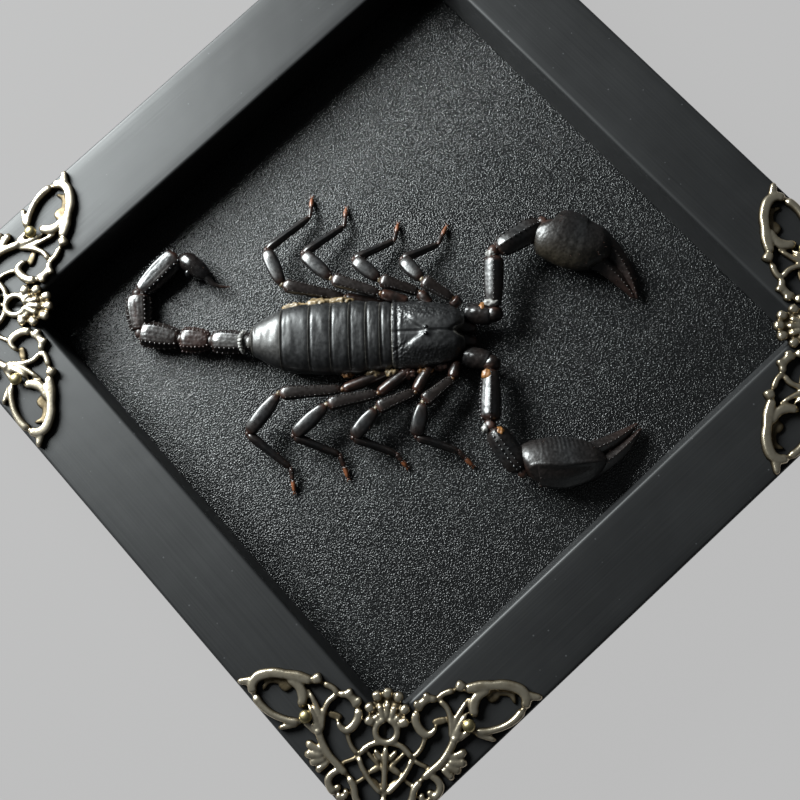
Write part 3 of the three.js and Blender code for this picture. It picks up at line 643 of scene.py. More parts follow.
# fan petals: angle from the diagonal in degrees, reach from the ring's middle
PETALS = [(-62, 5.2), (-39, 6.9), (-18, 8.3), (0, 8.6), (18, 8.3), (39, 6.9), (62, 5.2)]


def smooth_path(stops, steps=7):
    """A Catmull-Rom line through the stops."""
    stops = np.array(stops, float)
    padded = np.vstack([2 * stops[0] - stops[1], stops, 2 * stops[-1] - stops[-2]])
    out = []
    for before, here, there, beyond in zip(padded, padded[1:], padded[2:], padded[3:]):
        t = np.linspace(0, 1, steps, endpoint=False)[:, None]
        pull, swing = there - before, 2 * before - 5 * here + 4 * there - beyond
        curl = 3 * here - before - 3 * there + beyond
        out.append(0.5 * (2 * here + pull * t + swing * t**2 + curl * t**3))
    return np.vstack([*out, stops[-1]])


def petal_paths():
    out = []
    for angle, reach in PETALS:
        way = np.array([math.cos(math.radians(angle)), math.sin(math.radians(angle))])
        middle = np.array([RING_PLACE, 0])
        wedge = [tuple(middle + way * r) for r in (2.2, 0.5 * reach - 0.4, reach - 3.0)]
        lobe = [tuple(middle + way * r) for r in (reach - 2.5, reach - 1.4, reach - 0.4)]
        backing = [tuple(middle + way * r) for r in (1.8, 0.5 * reach, 0.88 * reach)]
        out.append((wedge, (0.22, 0.4, 0.5), 1.4))
        out.append((lobe, (0.55, 0.82, 0.72), 1.7))
        out.append((backing, (0.5, 0.8, 0.9), 0.7))
    return out


def ring_path():
    turn = np.linspace(0, 2 * math.pi, 33)
    return [(RING_PLACE + RING_RADIUS * math.cos(a), RING_RADIUS * math.sin(a)) for a in turn]


def strand_points():
    """Chains of points with half widths and heights for the whole ornament."""
    mirrored = [([(p, -q) for p, q in path], widths, height) for path, widths, height in HALF_PATHS]
    chains = HALF_PATHS + mirrored + MIDDLE_PATHS + petal_paths()
    chains.append((ring_path(), (0.5, 0.5, 0.5), 1.5))
    places, widths_out, heights, links = [], [], [], []
    for path, widths, height in chains:
        line = smooth_path(path, 2 if len(path) > 20 else 7)
        share = np.linspace(0, 1, len(line))
        first = len(places)
        places += [(p, q, 0) for p, q in line]
        ends = np.clip(np.minimum(share, 1 - share) * len(line) / 2.5, 0.35, 1)
        widths_out += list((np.interp(share, (0, 0.5, 1), widths) + STRAND_FULLNESS) * ends**0.5)
        heights += list(height * ends**0.35)
        links += [(first + i, first + i + 1) for i in range(len(line) - 1)]
    return np.array(places), np.array(widths_out), np.array(heights), links


places, widths, heights, links = strand_points()
chain_mesh = bpy.data.meshes.new("ornament_paths")
chain_mesh.from_pydata((places * MM).tolist(), links, [])
for key, values in (("half_width", widths * MM), ("height", heights * MM)):
    chain_mesh.attributes.new(key, "FLOAT", "POINT").data.foreach_set("value", values.astype(np.float32))
carrier = bpy.data.objects.new("ornament_paths", chain_mesh)
scene.collection.objects.link(carrier)
modifier = carrier.modifiers.new("strands", "NODES")
modifier.node_group = strands
set_input(modifier, "Profile Points", PROFILE_POINTS)
set_input(modifier, "Flatness", STRAND_FLATNESS)
melt = carrier.modifiers.new("melt", "REMESH")
melt.mode = "VOXEL"
melt.voxel_size = VOXEL * MM
soften = carrier.modifiers.new("soften", "SMOOTH")
soften.factor = 0.5
soften.iterations = 2
ornament = plain_mesh(carrier, "ornament")
print("ornament:", len(ornament.vertices), "points,", len(ornament.polygons), "faces")

# %% Four ornaments
CORNERS = ["right", "top", "left", "bottom"]

count = len(ornament.vertices)
shape = np.empty(count * 3, np.float32)
ornament.vertices.foreach_get("co", shape)
shape = shape.reshape(-1, 3)
facing = np.empty(count * 3, np.float32)
ornament.vertices.foreach_get("normal", facing)
facing = facing.reshape(-1, 3)
level = shape[:, 2] / (STRAND_HEIGHT * MM)
rubbed_share = np.clip(0.75 * np.clip((level - 0.25) / 0.6, 0, 1) + 0.45 * np.clip(facing[:, 2], 0,
    1) - 0.22, 0, 1)
ornament.attributes.new("rubbed", "FLOAT", "POINT").data.foreach_set("value", rubbed_share.astype(np.float32))
ornament.shade_smooth()
for number, corner in enumerate(CORNERS):
    mesh = ornament.copy()
    mesh.name = "filigree_corner_" + corner
    seat = Matrix.Translation((half_side * MM, half_side * MM, front_plane * MM))
    inward = Matrix.Rotation(math.radians(225), 4, "Z")
    mesh.transform(Matrix.Rotation(number * math.pi / 2, 4, "Z") @ seat @ inward)
    mesh.materials.clear()
    mesh.materials.append(antique_bronze)
    piece = bpy.data.objects.new(mesh.name, mesh)
    scene.collection.objects.link(piece)
    hand_over(piece, "antique_bronze", "corner_" + corner)

# %% [markdown]
# ## Nails
# Two dome-headed brass nails hold each ornament. All eight are alike, so Geometry Nodes put one nail, a
# dome on a thin shank, on eight points. Each point stands where its plain solid has its head.

# %% Nails
NAIL_HEAD_HEIGHT = 1.1
NAIL_SHANK_RADIUS = 0.5


def nail_tree(finish):
    tree = bpy.data.node_groups.new("dome_nails", "GeometryNodeTree")
    group_socket(tree, "Geometry", "NodeSocketGeometry")
    for name in ("Head Radius", "Head Height", "Shank Radius", "Shank Length"):
        group_socket(tree, name, "NodeSocketFloat")
    group_socket(tree, "Geometry", "NodeSocketGeometry", "OUTPUT")
    start = add_node(tree, "NodeGroupInput")
    ball = add_node(tree, "GeometryNodeMeshUVSphere", {"Segments": 28, "Rings": 16, "Radius": 1.0})
    spot = add_node(tree, "ShaderNodeSeparateXYZ",
                    {0: add_node(tree, "GeometryNodeInputPosition").outputs[0]})
    upper = add_node(tree, "ShaderNodeMath", {0: spot.outputs["Z"], 1: 0.0}, operation="MAXIMUM").outputs[0]
    domed = add_node(
        tree, "ShaderNodeCombineXYZ", {"X": spot.outputs["X"], "Y": spot.outputs["Y"], "Z": upper}
    ).outputs[0]
    dome = add_node(tree, "GeometryNodeSetPosition", {"Geometry": ball.outputs["Mesh"], "Position": domed})
    size = add_node(
        tree,
        "ShaderNodeCombineXYZ",
        {"X": start.outputs["Head Radius"], "Y": start.outputs["Head Radius"],
         "Z": start.outputs["Head Height"]},
    )
    head = add_node(tree, "GeometryNodeTransform", {"Geometry": dome.outputs[0], "Scale": size.outputs[0]})
    rod = add_node(
        tree,
        "GeometryNodeMeshCylinder",
        {"Vertices": 12, "Radius": start.outputs["Shank Radius"], "Depth": start.outputs["Shank Length"]},
    )
    half_down = add_node(tree, "ShaderNodeMath", {0: start.outputs["Shank Length"], 1: -0.5},
                         operation="MULTIPLY")
    drop = add_node(tree, "ShaderNodeCombineXYZ", {"Z": half_down.outputs[0]})
    shank = add_node(tree, "GeometryNodeTransform",
                     {"Geometry": rod.outputs["Mesh"], "Translation": drop.outputs[0]})
    nail = add_node(tree, "GeometryNodeJoinGeometry")
    tree.links.new(head.outputs[0], nail.inputs[0])
    tree.links.new(shank.outputs[0], nail.inputs[0])
    nails = add_node(
        tree, "GeometryNodeInstanceOnPoints",
        {"Points": start.outputs["Geometry"], "Instance": nail.outputs[0]}
    )
    real = add_node(tree, "GeometryNodeRealizeInstances", {"Geometry": nails.outputs[0]})
    clad = add_node(tree, "GeometryNodeSetMaterial", {"Geometry": real.outputs[0], "Material": finish})
    tree.links.new(clad.outputs[0], add_node(tree, "NodeGroupOutput").inputs["Geometry"])
    return tree


nail_nodes = [f"nail_{corner}_{mark}" for corner in CORNERS for mark in "ab"]
seats = []
for name in nail_nodes:
    low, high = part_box(name)
    seats.append(((low.x + high.x) / 2, (low.y + high.y) / 2, high.z - NAIL_HEAD_HEIGHT * MM))
nail_radius = (high.x - low.x) / 2
shank_length = seats[-1][2] - low.z
seat_mesh = bpy.data.meshes.new("nail_seats")
seat_mesh.from_pydata(seats, [], [])
carrier = bpy.data.objects.new("nail_seats", seat_mesh)
scene.collection.objects.link(carrier)
modifier = carrier.modifiers.new("nails", "NODES")
modifier.node_group = nail_tree(dull_brass)
set_input(modifier, "Head Radius", nail_radius)
set_input(modifier, "Head Height", NAIL_HEAD_HEIGHT * MM)
set_input(modifier, "Shank Radius", NAIL_SHANK_RADIUS * MM)
set_input(modifier, "Shank Length", shank_length)
nail_mesh = plain_mesh(carrier, "brass_nails")
nail_mesh.shade_smooth()
nail_piece = bpy.data.objects.new("brass_nails", nail_mesh)
scene.collection.objects.link(nail_piece)
hand_over(nail_piece, "brass", *nail_nodes)

# %% [markdown]
# ## Cuticle
# A scorpion's shell is nearly black with a satin gloss, rusty brown on the limbs, amber or tan where soft
# skin shows at the joints. Every point of the shell carries its own tone and dullness in two attributes,
# and one finish reads both and breaks them up with a fine mottle.

# %% Cuticle finish
cuticle, tree, shader = new_finish("scorpion_cuticle", Specular_IOR_Level=0.7, Coat_Weight=0.2,
                                   Coat_Roughness=0.16)
tone = add_node(tree, "ShaderNodeAttribute", attribute_name="tone").outputs["Color"]
dullness = add_node(tree, "ShaderNodeAttribute", attribute_name="dullness").outputs["Fac"]
place = object_place(tree)
mottle = add_node(tree, "ShaderNodeTexNoise",
                  {"Vector": place, "Scale": 1300.0, "Detail": 5.0}).outputs["Fac"]
fine = add_node(tree, "ShaderNodeTexNoise", {"Vector": place, "Scale": 4600.0, "Detail": 3.0}).outputs["Fac"]
shades = ramp(tree, mottle, (0.3, 0.55), (0.7, 1.45))
tree.links.new(multiply(tree, tone, shades), shader.inputs["Base Color"])
spread = add_node(tree, "ShaderNodeMath", {0: mottle, 1: 0.5}, operation="SUBTRACT").outputs[0]
sheen = add_node(tree, "ShaderNodeMath", {0: spread, 1: 0.3, 2: dullness},
                 operation="MULTIPLY_ADD").outputs[0]
tree.links.new(sheen, shader.inputs["Roughness"])
shell_relief = bump(tree, mottle, 0.05 * MM, 0.5)
tree.links.new(bump(tree, fine, 0.025 * MM, 0.5, shell_relief), shader.inputs["Normal"])
print("cuticle ready")

# %% [markdown]
# ## Limbs as skins
# A limb segment is a skin over rounded diamonds along a line from one joint to the next. Its half width,
# half height and tone follow a few keys along the line. Keels are ridges that run along it, flutes are
# short ribs across it, and grain is a fine crust. Rows of beads and scattered bristles are only noted
# here, as points, for Geometry Nodes to fill in later. Places are in the specimen's own frame: towards
# the head, towards its left side, and up from the leatherette.

# %% Limb helpers
CUTICLE = (0.006, 0.006, 0.0065)
UMBER = (0.0095, 0.0065, 0.0056)
OLIVE = (0.022, 0.017, 0.010)
RUST = (0.034, 0.013, 0.008)
FOOT = (0.17, 0.055, 0.02)
RED_BROWN = (0.018, 0.008, 0.006)
AMBER = (0.33, 0.14, 0.035)
TAN = (0.17, 0.12, 0.06)
BONE = (0.34, 0.33, 0.31)
ASH = (0.07, 0.065, 0.06)
LOWEST = 0.04
UP = np.array([0.0, 0.0, 1.0])

chance = np.random.default_rng(7)
bead_points = []
bristle_points = []


def unit(vectors):
    return vectors / np.linalg.norm(vectors, axis=-1, keepdims=True)


def gaussian(value, width):
    return np.exp(-((value / width) ** 2))


def ease(keys, t):
    """A smooth line through (place, value) keys that never overshoots them."""
    at, value = np.array(keys, float).T
    slope = np.diff(value) / np.diff(at)
    inner = np.zeros(len(at) - 2)
    product, total = slope[:-1] * slope[1:], slope[:-1] + slope[1:]
    np.divide(2 * product, total, out=inner, where=product > 0)
    tangent = np.concatenate([slope[:1], inner, slope[-1:]])
    k = np.clip(np.searchsorted(at, t, side="right") - 1, 0, len(at) - 2)
    step = at[k + 1] - at[k]
    s = (t - at[k]) / step
    rise = value[k + 1] - value[k]
    bend = s * (1 - s) * ((1 - s) * (tangent[k] * step - rise) - s * (tangent[k + 1] * step - rise))
    return value[k] + rise * s + bend


def form(rings, tones, dull):
    """A skin with a tone and a dullness at each of its points."""
    rings[..., 2] = np.maximum(rings[..., 2], LOWEST)
    points, faces = skin(rings)
    shades = np.vstack([tones.reshape(-1, 3), tones[0].mean(0), tones[-1].mean(0)])
    return points, faces, shades, np.full(len(points), dull)


def add_beads(line, count, radius, tone):
    """Notes a row of beads, evenly spaced along a line of points."""
    run = np.concatenate([[0], np.cumsum(np.linalg.norm(np.diff(line, axis=0), axis=1))])
    for at in np.linspace(0.08, 0.92, count) * run[-1]:
        spot = [np.interp(at, run, line[:, k]) for k in range(3)]
        bead_points.append((spot, radius * chance.uniform(0.75, 1.2), tone))


def add_bristles(rings, line, count, length):
    """Notes bristles that stand out of a skin at random places and lean towards its end."""
    for _ in range(count):
        ring = chance.integers(2, len(rings) - 2)
        side = chance.integers(0, rings.shape[1])
        outward = unit(rings[ring, side] - line[ring]) + 0.9 * unit(line[ring + 1] - line[ring])
        if outward[2] > -0.2:
            bristle_points.append((rings[ring, side], unit(outward), length * chance.uniform(0.6, 1.2)))


def limb(start, end, widths, heights, tones, bow=0.0, lift=0.0, shift=((0, 0), (1, 0)), square=1.7,
         caps=(0.12, 0.1),
         keels=(), flutes=None, patch=None, rows=(), hairs=(0, 0), grain=0.0, grain_size=0.4, sides=28,
         steps=30,
         dull=0.34, seed=0):
    t = (1 - np.cos(np.linspace(0, math.pi, steps))) / 2
    start, end = np.array(start, float), np.array(end, float)
    chord = end - start
    arch = np.sin(math.pi * t)[:, None]
    aside = unit(np.cross(chord, UP)) * (bow * arch + ease(shift, t)[:, None])
    line = start + chord * t[:, None] + aside + UP * lift * arch
    forward = unit(np.gradient(line, t, axis=0))
    sideways = unit(np.cross(forward, UP))
    upward = np.cross(sideways, forward)
    first = np.clip(1 - t / caps[0], 0, 1)
    last = np.clip(1 - (1 - t) / caps[1], 0, 1)
    cap = np.sqrt((1 - first**2) * (1 - last**2)) + 0.02
    angle = 2 * math.pi * np.arange(sides) / sides
    oval_x = np.sign(np.cos(angle)) * np.abs(np.cos(angle)) ** (2 / square)
    oval_z = np.sign(np.sin(angle)) * np.abs(np.sin(angle)) ** (2 / square)

    def around(degrees, width):
        apart = np.angle(np.exp(1j * (angle - math.radians(degrees))))
        return gaussian(apart, math.radians(width))[None, :]

    ridge = np.ones((steps, sides))
    for degrees, height, width in keels:
        ridge = ridge + height * around(degrees, width) * arch**0.5
    if flutes:
        count, height, degrees, width = flutes
        ridge = ridge + height * around(degrees, width) * arch * np.sin(2 * math.pi * count * t)[:, None]
    wide = (ease(widths, t) * cap)[:, None, None]
    tall = (ease(heights, t) * cap)[:, None, None]
    reach = sideways[:, None] * (wide * (oval_x * ridge)[..., None])
    reach = reach + upward[:, None] * (tall * (oval_z * ridge)[..., None])
    rings = line[:, None] + reach
    if grain:
        crust = grain * grains(rings, grain_size, seed) * np.minimum(1, cap[:, None] * 1.2)
        rings = rings + unit(reach + 1e-9) * crust[..., None]
    at = [place for place, _ in tones]
    shades = np.stack([np.interp(t, at, [tone[k] for _, tone in tones]) for k in range(3)], -1)
    shades = np.repeat(shades[:, None], sides, 1)
    if patch:
        degrees, width, tone = patch
        share = (around(degrees, width) * arch**0.3)[..., None]
        shades = shades * (1 - share) + np.array(tone) * share
    for degrees, count, radius in rows:
        add_beads(rings[:, round(degrees / 360 * sides) % sides], count, radius,
                  tuple(shades[steps // 2, 0] * 1.5))
    add_bristles(rings, line, *hairs)
    return form(rings, shades, dull)


def lump(middle, size, tone, heading=0.0, crumple=0.0, crumple_size=0.8, dull=0.45, seed=0, sides=18,
         steps=14):
    """A small rounded mass: half sizes along its heading, across and up."""
    way = np.array([math.cos(heading), math.sin(heading), 0])
    along, wide, tall = size
    middle = np.array(middle, float)
    points, faces, shades, dulls = limb(
        middle - way * along, middle + way * along, [(0, wide), (1, wide)], [(0, tall), (1, tall)],
        [(0, tone), (1, tone)], caps=(0.5, 0.5), square=2, dull=dull, sides=sides, steps=steps,
    )
    if crumple:
        outward = unit(points - middle + 1e-9)
        points = points + outward * (crumple * swell(points, crumple_size, seed))[:, None]
        points[:, 2] = np.maximum(points[:, 2], LOWEST)
    return points, faces, shades, dulls


def between(first, second, share):
    return tuple(np.array(first) * (1 - share) + np.array(second) * share)


def darker(tone, share):
    return tuple(np.array(tone) * share)


def on_panel(points):
    """Places of the specimen's frame, which is turned an eighth of a turn on the panel, in metres."""
    ahead, left, height = np.asarray(points).T
    x, y = (ahead - left) / math.sqrt(2), (ahead + left) / math.sqrt(2)
    return np.stack([x, y, height + panel_top], -1) * MM


def assemble(name, forms, node):
    """One piece of the scorpion from its forms, standing for its plain solid."""
    faces, first = [], 0
    for points, form_faces, _, _ in forms:
        faces += [tuple(first + i for i in face) for face in form_faces]
        first += len(points)
    points, tones, dulls = (np.concatenate([f[k] for f in forms]) for k in (0, 2, 3))
    tones = np.hstack([tones, np.ones((len(tones), 1))])
    piece = new_piece(name, on_panel(points), faces, cuticle, {"tone": tones, "dullness": dulls})
    hand_over(piece, "chitin", node)


print("limb helpers ready")

# %% [markdown]
# ## Legs
# Each of the eight legs goes from the hip through a short trochanter, a femur, a spindle-shaped patella
# and a thin tibia to an orange foot. Each segment swells towards its far end, and a little soft skin
# shows at the joints. The segments are the same on all legs, so only the joints' places are listed.

# %% Legs
# hip, femur's start, femur's end, knee, ankle and foot, front leg first
LEFT_LEGS = [
    [(11.2, 4.2, 4), (9.8, 5.4, 5), (3.2, 9, 6.4), (-1.4, 13.9, 4.6), (6.2, 18.2, 1.8), (7.8, 22.6, 0.5)],
    [(5, 4.2, 3.6), (2.6, 6.9, 3.8), (-6, 9, 5.4), (-11.8, 13.6, 4.6), (-3.5, 18.8, 1.8), (-2.9, 22.9, 0.5)],
    [(0.4, 4.6, 4.2), (-5.6, 6, 5.2), (-16.4, 8.9, 5.6), (-23, 14.6, 4.6), (-14.7, 21.9, 1.8),
     (-14.6, 26.3, 0.5)],
    [(-4.4, 4.6, 2), (-13.6, 5.6, 2.6), (-27.1, 7.4, 5), (-31.2, 15.4, 4.2), (-22.4, 23.8, 1.8),
     (-22.4, 28.5, 0.5)],
]
RIGHT_LEGS = [
    [(11.2, -8, 3.4), (10.4, -11.8, 4.2), (4.4, -17.2, 5.6), (3.2, -24.4, 4.6), (12.1, -26.9, 1.8),
     (15.2, -29.8, 0.5)],
    [(5.6, -9, 3.4), (2.6, -14.9, 4.2), (-5.4, -18.9, 5.6), (-10.1, -25.1, 4.6), (-1, -28, 1.8),
     (1.3, -30.6, 0.5)],
    [(2, -9.4, 3.4), (-5.2, -15.5, 4.2), (-15.9, -18.4, 5.6), (-22.8, -25.2, 4.6), (-13, -28.7, 1.8),
     (-11.2, -33.4, 0.5)],
    [(-2, -10, 2.6), (-13, -14.8, 3.8), (-26.3, -16.4, 5.4), (-32.7, -25, 4.2), (-23.4, -31.9, 1.8),
     (-22.6, -36.8, 0.5)],
]


def leg_forms(joints, seed):
    hip, root, bend, knee, ankle, foot = joints
    heel = between(ankle, foot, 0.48)
    forms = [
        limb(hip, root, [(0, 1.0), (0.6, 1.25), (1, 1.0)], [(0, 1.2), (0.6, 1.4), (1, 1.1)],
             [(0, RUST), (0.5, UMBER), (1, RUST)], square=1.9, grain=0.08, seed=seed),
        limb(root, bend, [(0, 0.8), (0.14, 1.1), (0.6, 1.3), (0.88, 1.5), (1, 1.0)],
             [(0, 0.8), (0.2, 1.1), (0.8, 1.35), (1, 0.95)],
             [(0, RUST), (0.1, UMBER), (0.86, UMBER), (1, RUST)], square=2.4,
             keels=[(50, 0.12, 10), (130, 0.12, 10)],
             rows=[(50, 15, 0.16), (130, 13, 0.14)], grain=0.05, steps=44, seed=seed),
        limb(bend, knee, [(0, 0.75), (0.18, 1.25), (0.5, 1.6), (0.86, 1.45), (1, 0.9)],
             [(0, 0.75), (0.25, 1.2), (0.7, 1.35), (1, 0.85)],
             [(0, RUST), (0.14, UMBER), (0.5, CUTICLE), (0.9, UMBER), (1, RUST)], square=2.4,
             keels=[(45, 0.1, 11), (135, 0.12, 11)], rows=[(20, 9, 0.08)], hairs=(4, 0.7), grain=0.03,
             steps=36,
             seed=seed + 1),
        limb(knee, ankle, [(0, 0.8), (0.12, 1.05), (0.4, 0.92), (0.9, 0.75), (1, 0.55)],
             [(0, 0.75), (0.2, 0.95), (1, 0.6)],
             [(0, RUST), (0.08, UMBER), (0.45, CUTICLE), (0.9, UMBER), (1, RUST)], square=1.65,
             keels=[(85, 0.1, 14)], hairs=(7, 0.7), steps=30, seed=seed + 2),
        limb(ankle, heel, [(0, 0.42), (0.3, 0.55), (1, 0.46)], [(0, 0.5), (1, 0.55)],
             [(0, RUST), (0.4, UMBER), (1, RUST)], square=1.9, hairs=(6, 0.7), sides=18, steps=16),
        limb(heel, foot, [(0, 0.4), (0.4, 0.52), (1, 0.34)], [(0, 0.45), (0.6, 0.55), (1, 0.4)],
             [(0, RUST), (0.3, FOOT), (1, FOOT)], square=1.9, hairs=(12, 0.8), sides=18, steps=16, dull=0.42),
        lump(root, (0.6, 0.65, 0.7), darker(AMBER, 0.3), crumple=0.2, seed=seed),
        lump(bend, (0.55, 0.6, 0.6), darker(TAN, 0.6), crumple=0.2, seed=seed + 3),
        lump(knee, (0.5, 0.55, 0.6), RUST, crumple=0.1, seed=seed + 5),
        lump(ankle, (0.42, 0.42, 0.45), RUST, crumple=0.08, seed=seed + 6),
    ]
    heading = math.atan2(foot[1] - heel[1], foot[0] - heel[0])
    for way in (-0.5, 0.5):
        tip = np.array(foot) + 0.95 * np.array([math.cos(heading + way), math.sin(heading + way), -0.25])
        forms.append(limb(foot, tip, [(0, 0.2), (1, 0.07)], [(0, 0.22), (1, 0.08)], [(0, FOOT), (1, RUST)],
                          lift=0.15, sides=8, steps=8))
    return forms


for side, legs in (("left", LEFT_LEGS), ("right", RIGHT_LEGS)):
    for number, joints in enumerate(legs, 1):
        node = f"scorpion_leg_{side}_{number}"
        assemble("dried_" + node, leg_forms(joints, number + 4 * (side == "right")), node)

# %% [markdown]
# ## Claws
# A claw has a coxa, a trochanter, a femur with a row of beads, a keeled patella and a fat hand with two
# closed fingers. The hand's two sides differ, so its middle line is shifted sideways along its length.
# The two hands lie at different angles, so each has its own list of sizes.

# %% Claws
LEFT_CLAW = {
    "coxa": (12.4, 2.8, 3.8),
    "root": (18.6, 1.8, 5),
    "elbow": (18.2, 15.6, 6),
    "wrist": (28.4, 22.4, 5.2),
    "hand_end": (43.2, 16.2, 3.8),
    "half_widths": [(0, 2.3), (0.05, 4.2), (0.2, 5.6), (0.45, 5.9), (0.7, 5.0), (0.88, 3.7), (1, 2.6)],
    "shift": [(0, -0.35), (0.08, 0.7), (0.25, 1.15), (0.55, 1.0), (0.8, 0.1), (1, -0.2)],
    "square": 1.85,
    "keels": [(128, 0.07, 8), (165, 0.06, 9), (70, 0.03, 10)],
    "flutes": (9, 0.005, 60, 40),
    "patch": (25, 40, OLIVE),
    "fixed": [(36.6, 17, 3.4), (48.7, 7.3, 1.6), -1.0],
    "moving": [(38.8, 21.4, 3.6), (49.3, 7, 1.7), -1.6],
    "finger": 1.0,
    "bead_row": 152,
    "ridge_row": 140,
    "amber": [((16.2, 2.9, 5.6), (0.9, 1.7, 1.0))],
    "pale": [((18, 4.3, 6.5), (1.6, 0.8, 0.7)), ((17.6, 14.9, 6.9), (1.0, 0.9, 0.5))],
}
RIGHT_CLAW = {
    "coxa": (12.4, -6.6, 3.8),
    "root": (18.4, -8, 4.8),
    "elbow": (18.6, -21.8, 5.8),
    "wrist": (25.6, -31, 5),
    "hand_end": (43, -28, 3.8),
    "half_widths": [(0, 2.3), (0.06, 3.9), (0.16, 4.7), (0.46, 5.3), (0.64, 4.8), (0.84, 3.65), (1, 2.4)],
    "shift": [(0, -0.3), (0.16, -1.4), (0.47, -0.9), (0.7, -0.6), (1, -0.1)],
    "square": 1.6,
    "keels": [(80, 0.12, 9), (20, 0.05, 9)],
    "flutes": (19, 0.018, 160, 34),
    "patch": (60, 14, UMBER),
    "fixed": [(36.8, -27, 3.6), (49.6, -19.7, 1.6), 0.8],
    "moving": [(38, -31, 3.4), (50.2, -20.8, 1.7), 1.0],
    "finger": 0.86,
    "bead_row": 28,
    "ridge_row": 62,
    "amber": [((17.7, -11, 6.2), (1.2, 1.2, 0.6)), ((20.6, -23.4, 6.9), (1.0, 1.4, 0.9))],
    "pale": [((17.6, -22.4, 6.6), (0.8, 0.9, 0.8))],
}

# half width along a finger
FINGER_WIDTHS = [(0, 2.5), (0.35, 1.95), (0.7, 1.35), (1, 0.35)]


def hand_forms(claw, seed):
    heights = [(0, 2.2), (0.07, 3.1), (0.3, 3.9), (0.55, 3.9), (0.8, 3.2), (1, 2.3)]
    forms = [
        limb(claw["wrist"], claw["hand_end"], claw["half_widths"], heights,
             [(0, RUST), (0.05, UMBER), (0.5, CUTICLE), (1, UMBER)], shift=claw["shift"],
             square=claw["square"],
             caps=(0.1, 0.22), keels=claw["keels"], flutes=claw["flutes"], patch=claw["patch"],
             hairs=(26, 1.0),
             grain=0.06, grain_size=0.36, sides=140, steps=120, dull=0.42, seed=seed),
    ]
    for start, end, bow in (claw["fixed"], claw["moving"]):
        forms.append(limb(start, end, [(t, w * claw["finger"]) for t, w in FINGER_WIDTHS],
                          [(0, 2.1), (0.3, 1.7), (0.7, 1.2), (1, 0.4)],
                          [(0, CUTICLE), (0.5, UMBER), (1, RED_BROWN)], bow=bow, caps=(0.12, 0.05),
                          square=1.6,
                          keels=[(88, 0.14, 10), (20, 0.06, 12), (160, 0.06, 12)], rows=[(88, 16, 0.18)],
                          hairs=(12, 0.9), grain=0.05, sides=36, steps=48, seed=seed + 1))
    return forms


def arm_forms(claw, seed):
    coxa, root, elbow, wrist = (claw[k] for k in ("coxa", "root", "elbow", "wrist"))
    forms = [
        limb(coxa, root, [(0, 1.8), (0.5, 2.2), (1, 1.8)], [(0, 2.0), (0.5, 2.3), (1, 1.9)],
             [(0, CUTICLE), (0.6, UMBER), (1, CUTICLE)], grain=0.16, grain_size=0.55, steps=30, sides=40,
             seed=seed),
        limb(between(root, elbow, -0.1), between(root, elbow, 0.16), [(0, 1.5), (0.5, 2.0), (1, 1.5)],
             [(0, 1.5), (0.5, 2.0), (1, 1.5)], [(0, UMBER), (0.5, UMBER), (1, RUST)], caps=(0.3, 0.3),
             grain=0.12,
             grain_size=0.5, seed=seed + 6),
        limb(between(root, elbow, 0.12), between(root, elbow, 0.94),
             [(0, 1.4), (0.2, 1.85), (0.85, 2.15), (1, 1.7)], [(0, 1.5), (0.3, 1.95), (0.85, 2.15), (1, 1.7)],
             [(0, RUST), (0.08, UMBER), (0.85, CUTICLE), (1, RUST)], square=1.9, caps=(0.08, 0.08),
             keels=[(claw["bead_row"], 0.1, 9), (90, 0.06, 9), (180 - claw["bead_row"], 0.06, 9)],
             rows=[(claw["bead_row"], 15, 0.36), (90, 13, 0.18), (180 - claw["bead_row"], 12, 0.18)],
             hairs=(6, 0.9),
             grain=0.06, steps=56, sides=44, seed=seed + 1),
        lump(elbow, (1.3, 1.4, 1.4), RUST, crumple=0.25, crumple_size=1.1, seed=seed + 2),
        limb(between(elbow, wrist, 0.04), between(elbow, wrist, 0.97),
             [(0, 1.5), (0.2, 2.4), (0.7, 2.75), (0.9, 2.3), (1, 1.5)],
             [(0, 1.6), (0.3, 2.4), (0.75, 2.5), (1, 1.6)],
             [(0, RUST), (0.07, UMBER), (0.5, CUTICLE), (0.92, UMBER), (1, RUST)], square=1.7,
             caps=(0.1, 0.1),
             keels=[(claw["ridge_row"], 0.08, 8), (90, 0.08, 8), (20, 0.05, 9)],
             rows=[(claw["ridge_row"], 12, 0.3), (90, 11, 0.2), (20, 10, 0.2)], hairs=(6, 0.9), grain=0.07,
             steps=56, sides=44, seed=seed + 3),
        lump(wrist, (1.2, 1.3, 1.3), RUST, crumple=0.2, seed=seed + 4),
    ]
    for tone, skins in ((darker(AMBER, 0.6), claw["amber"]), (darker(BONE, 0.7), claw["pale"])):
        for number, (middle, size) in enumerate(skins):
            forms.append(lump(middle, size, tone, crumple=0.4, crumple_size=0.6, seed=seed + number,
                              sides=24, steps=20))
    return forms


for side, claw in (("left", LEFT_CLAW), ("right", RIGHT_CLAW)):
    node = "scorpion_claw_" + side
    seed = 11 if side == "left" else 17
    assemble("dried_" + node, arm_forms(claw, seed) + hand_forms(claw, seed), node)

# %% [markdown]
# ## Tail
# Five keeled segments and the sting's bulb curl sideways on the panel. Each segment is narrow at its near
# end and swells backwards, with a pale ring of soft skin where the tail leaves the body. The sting is one
# tapered, bent skin.

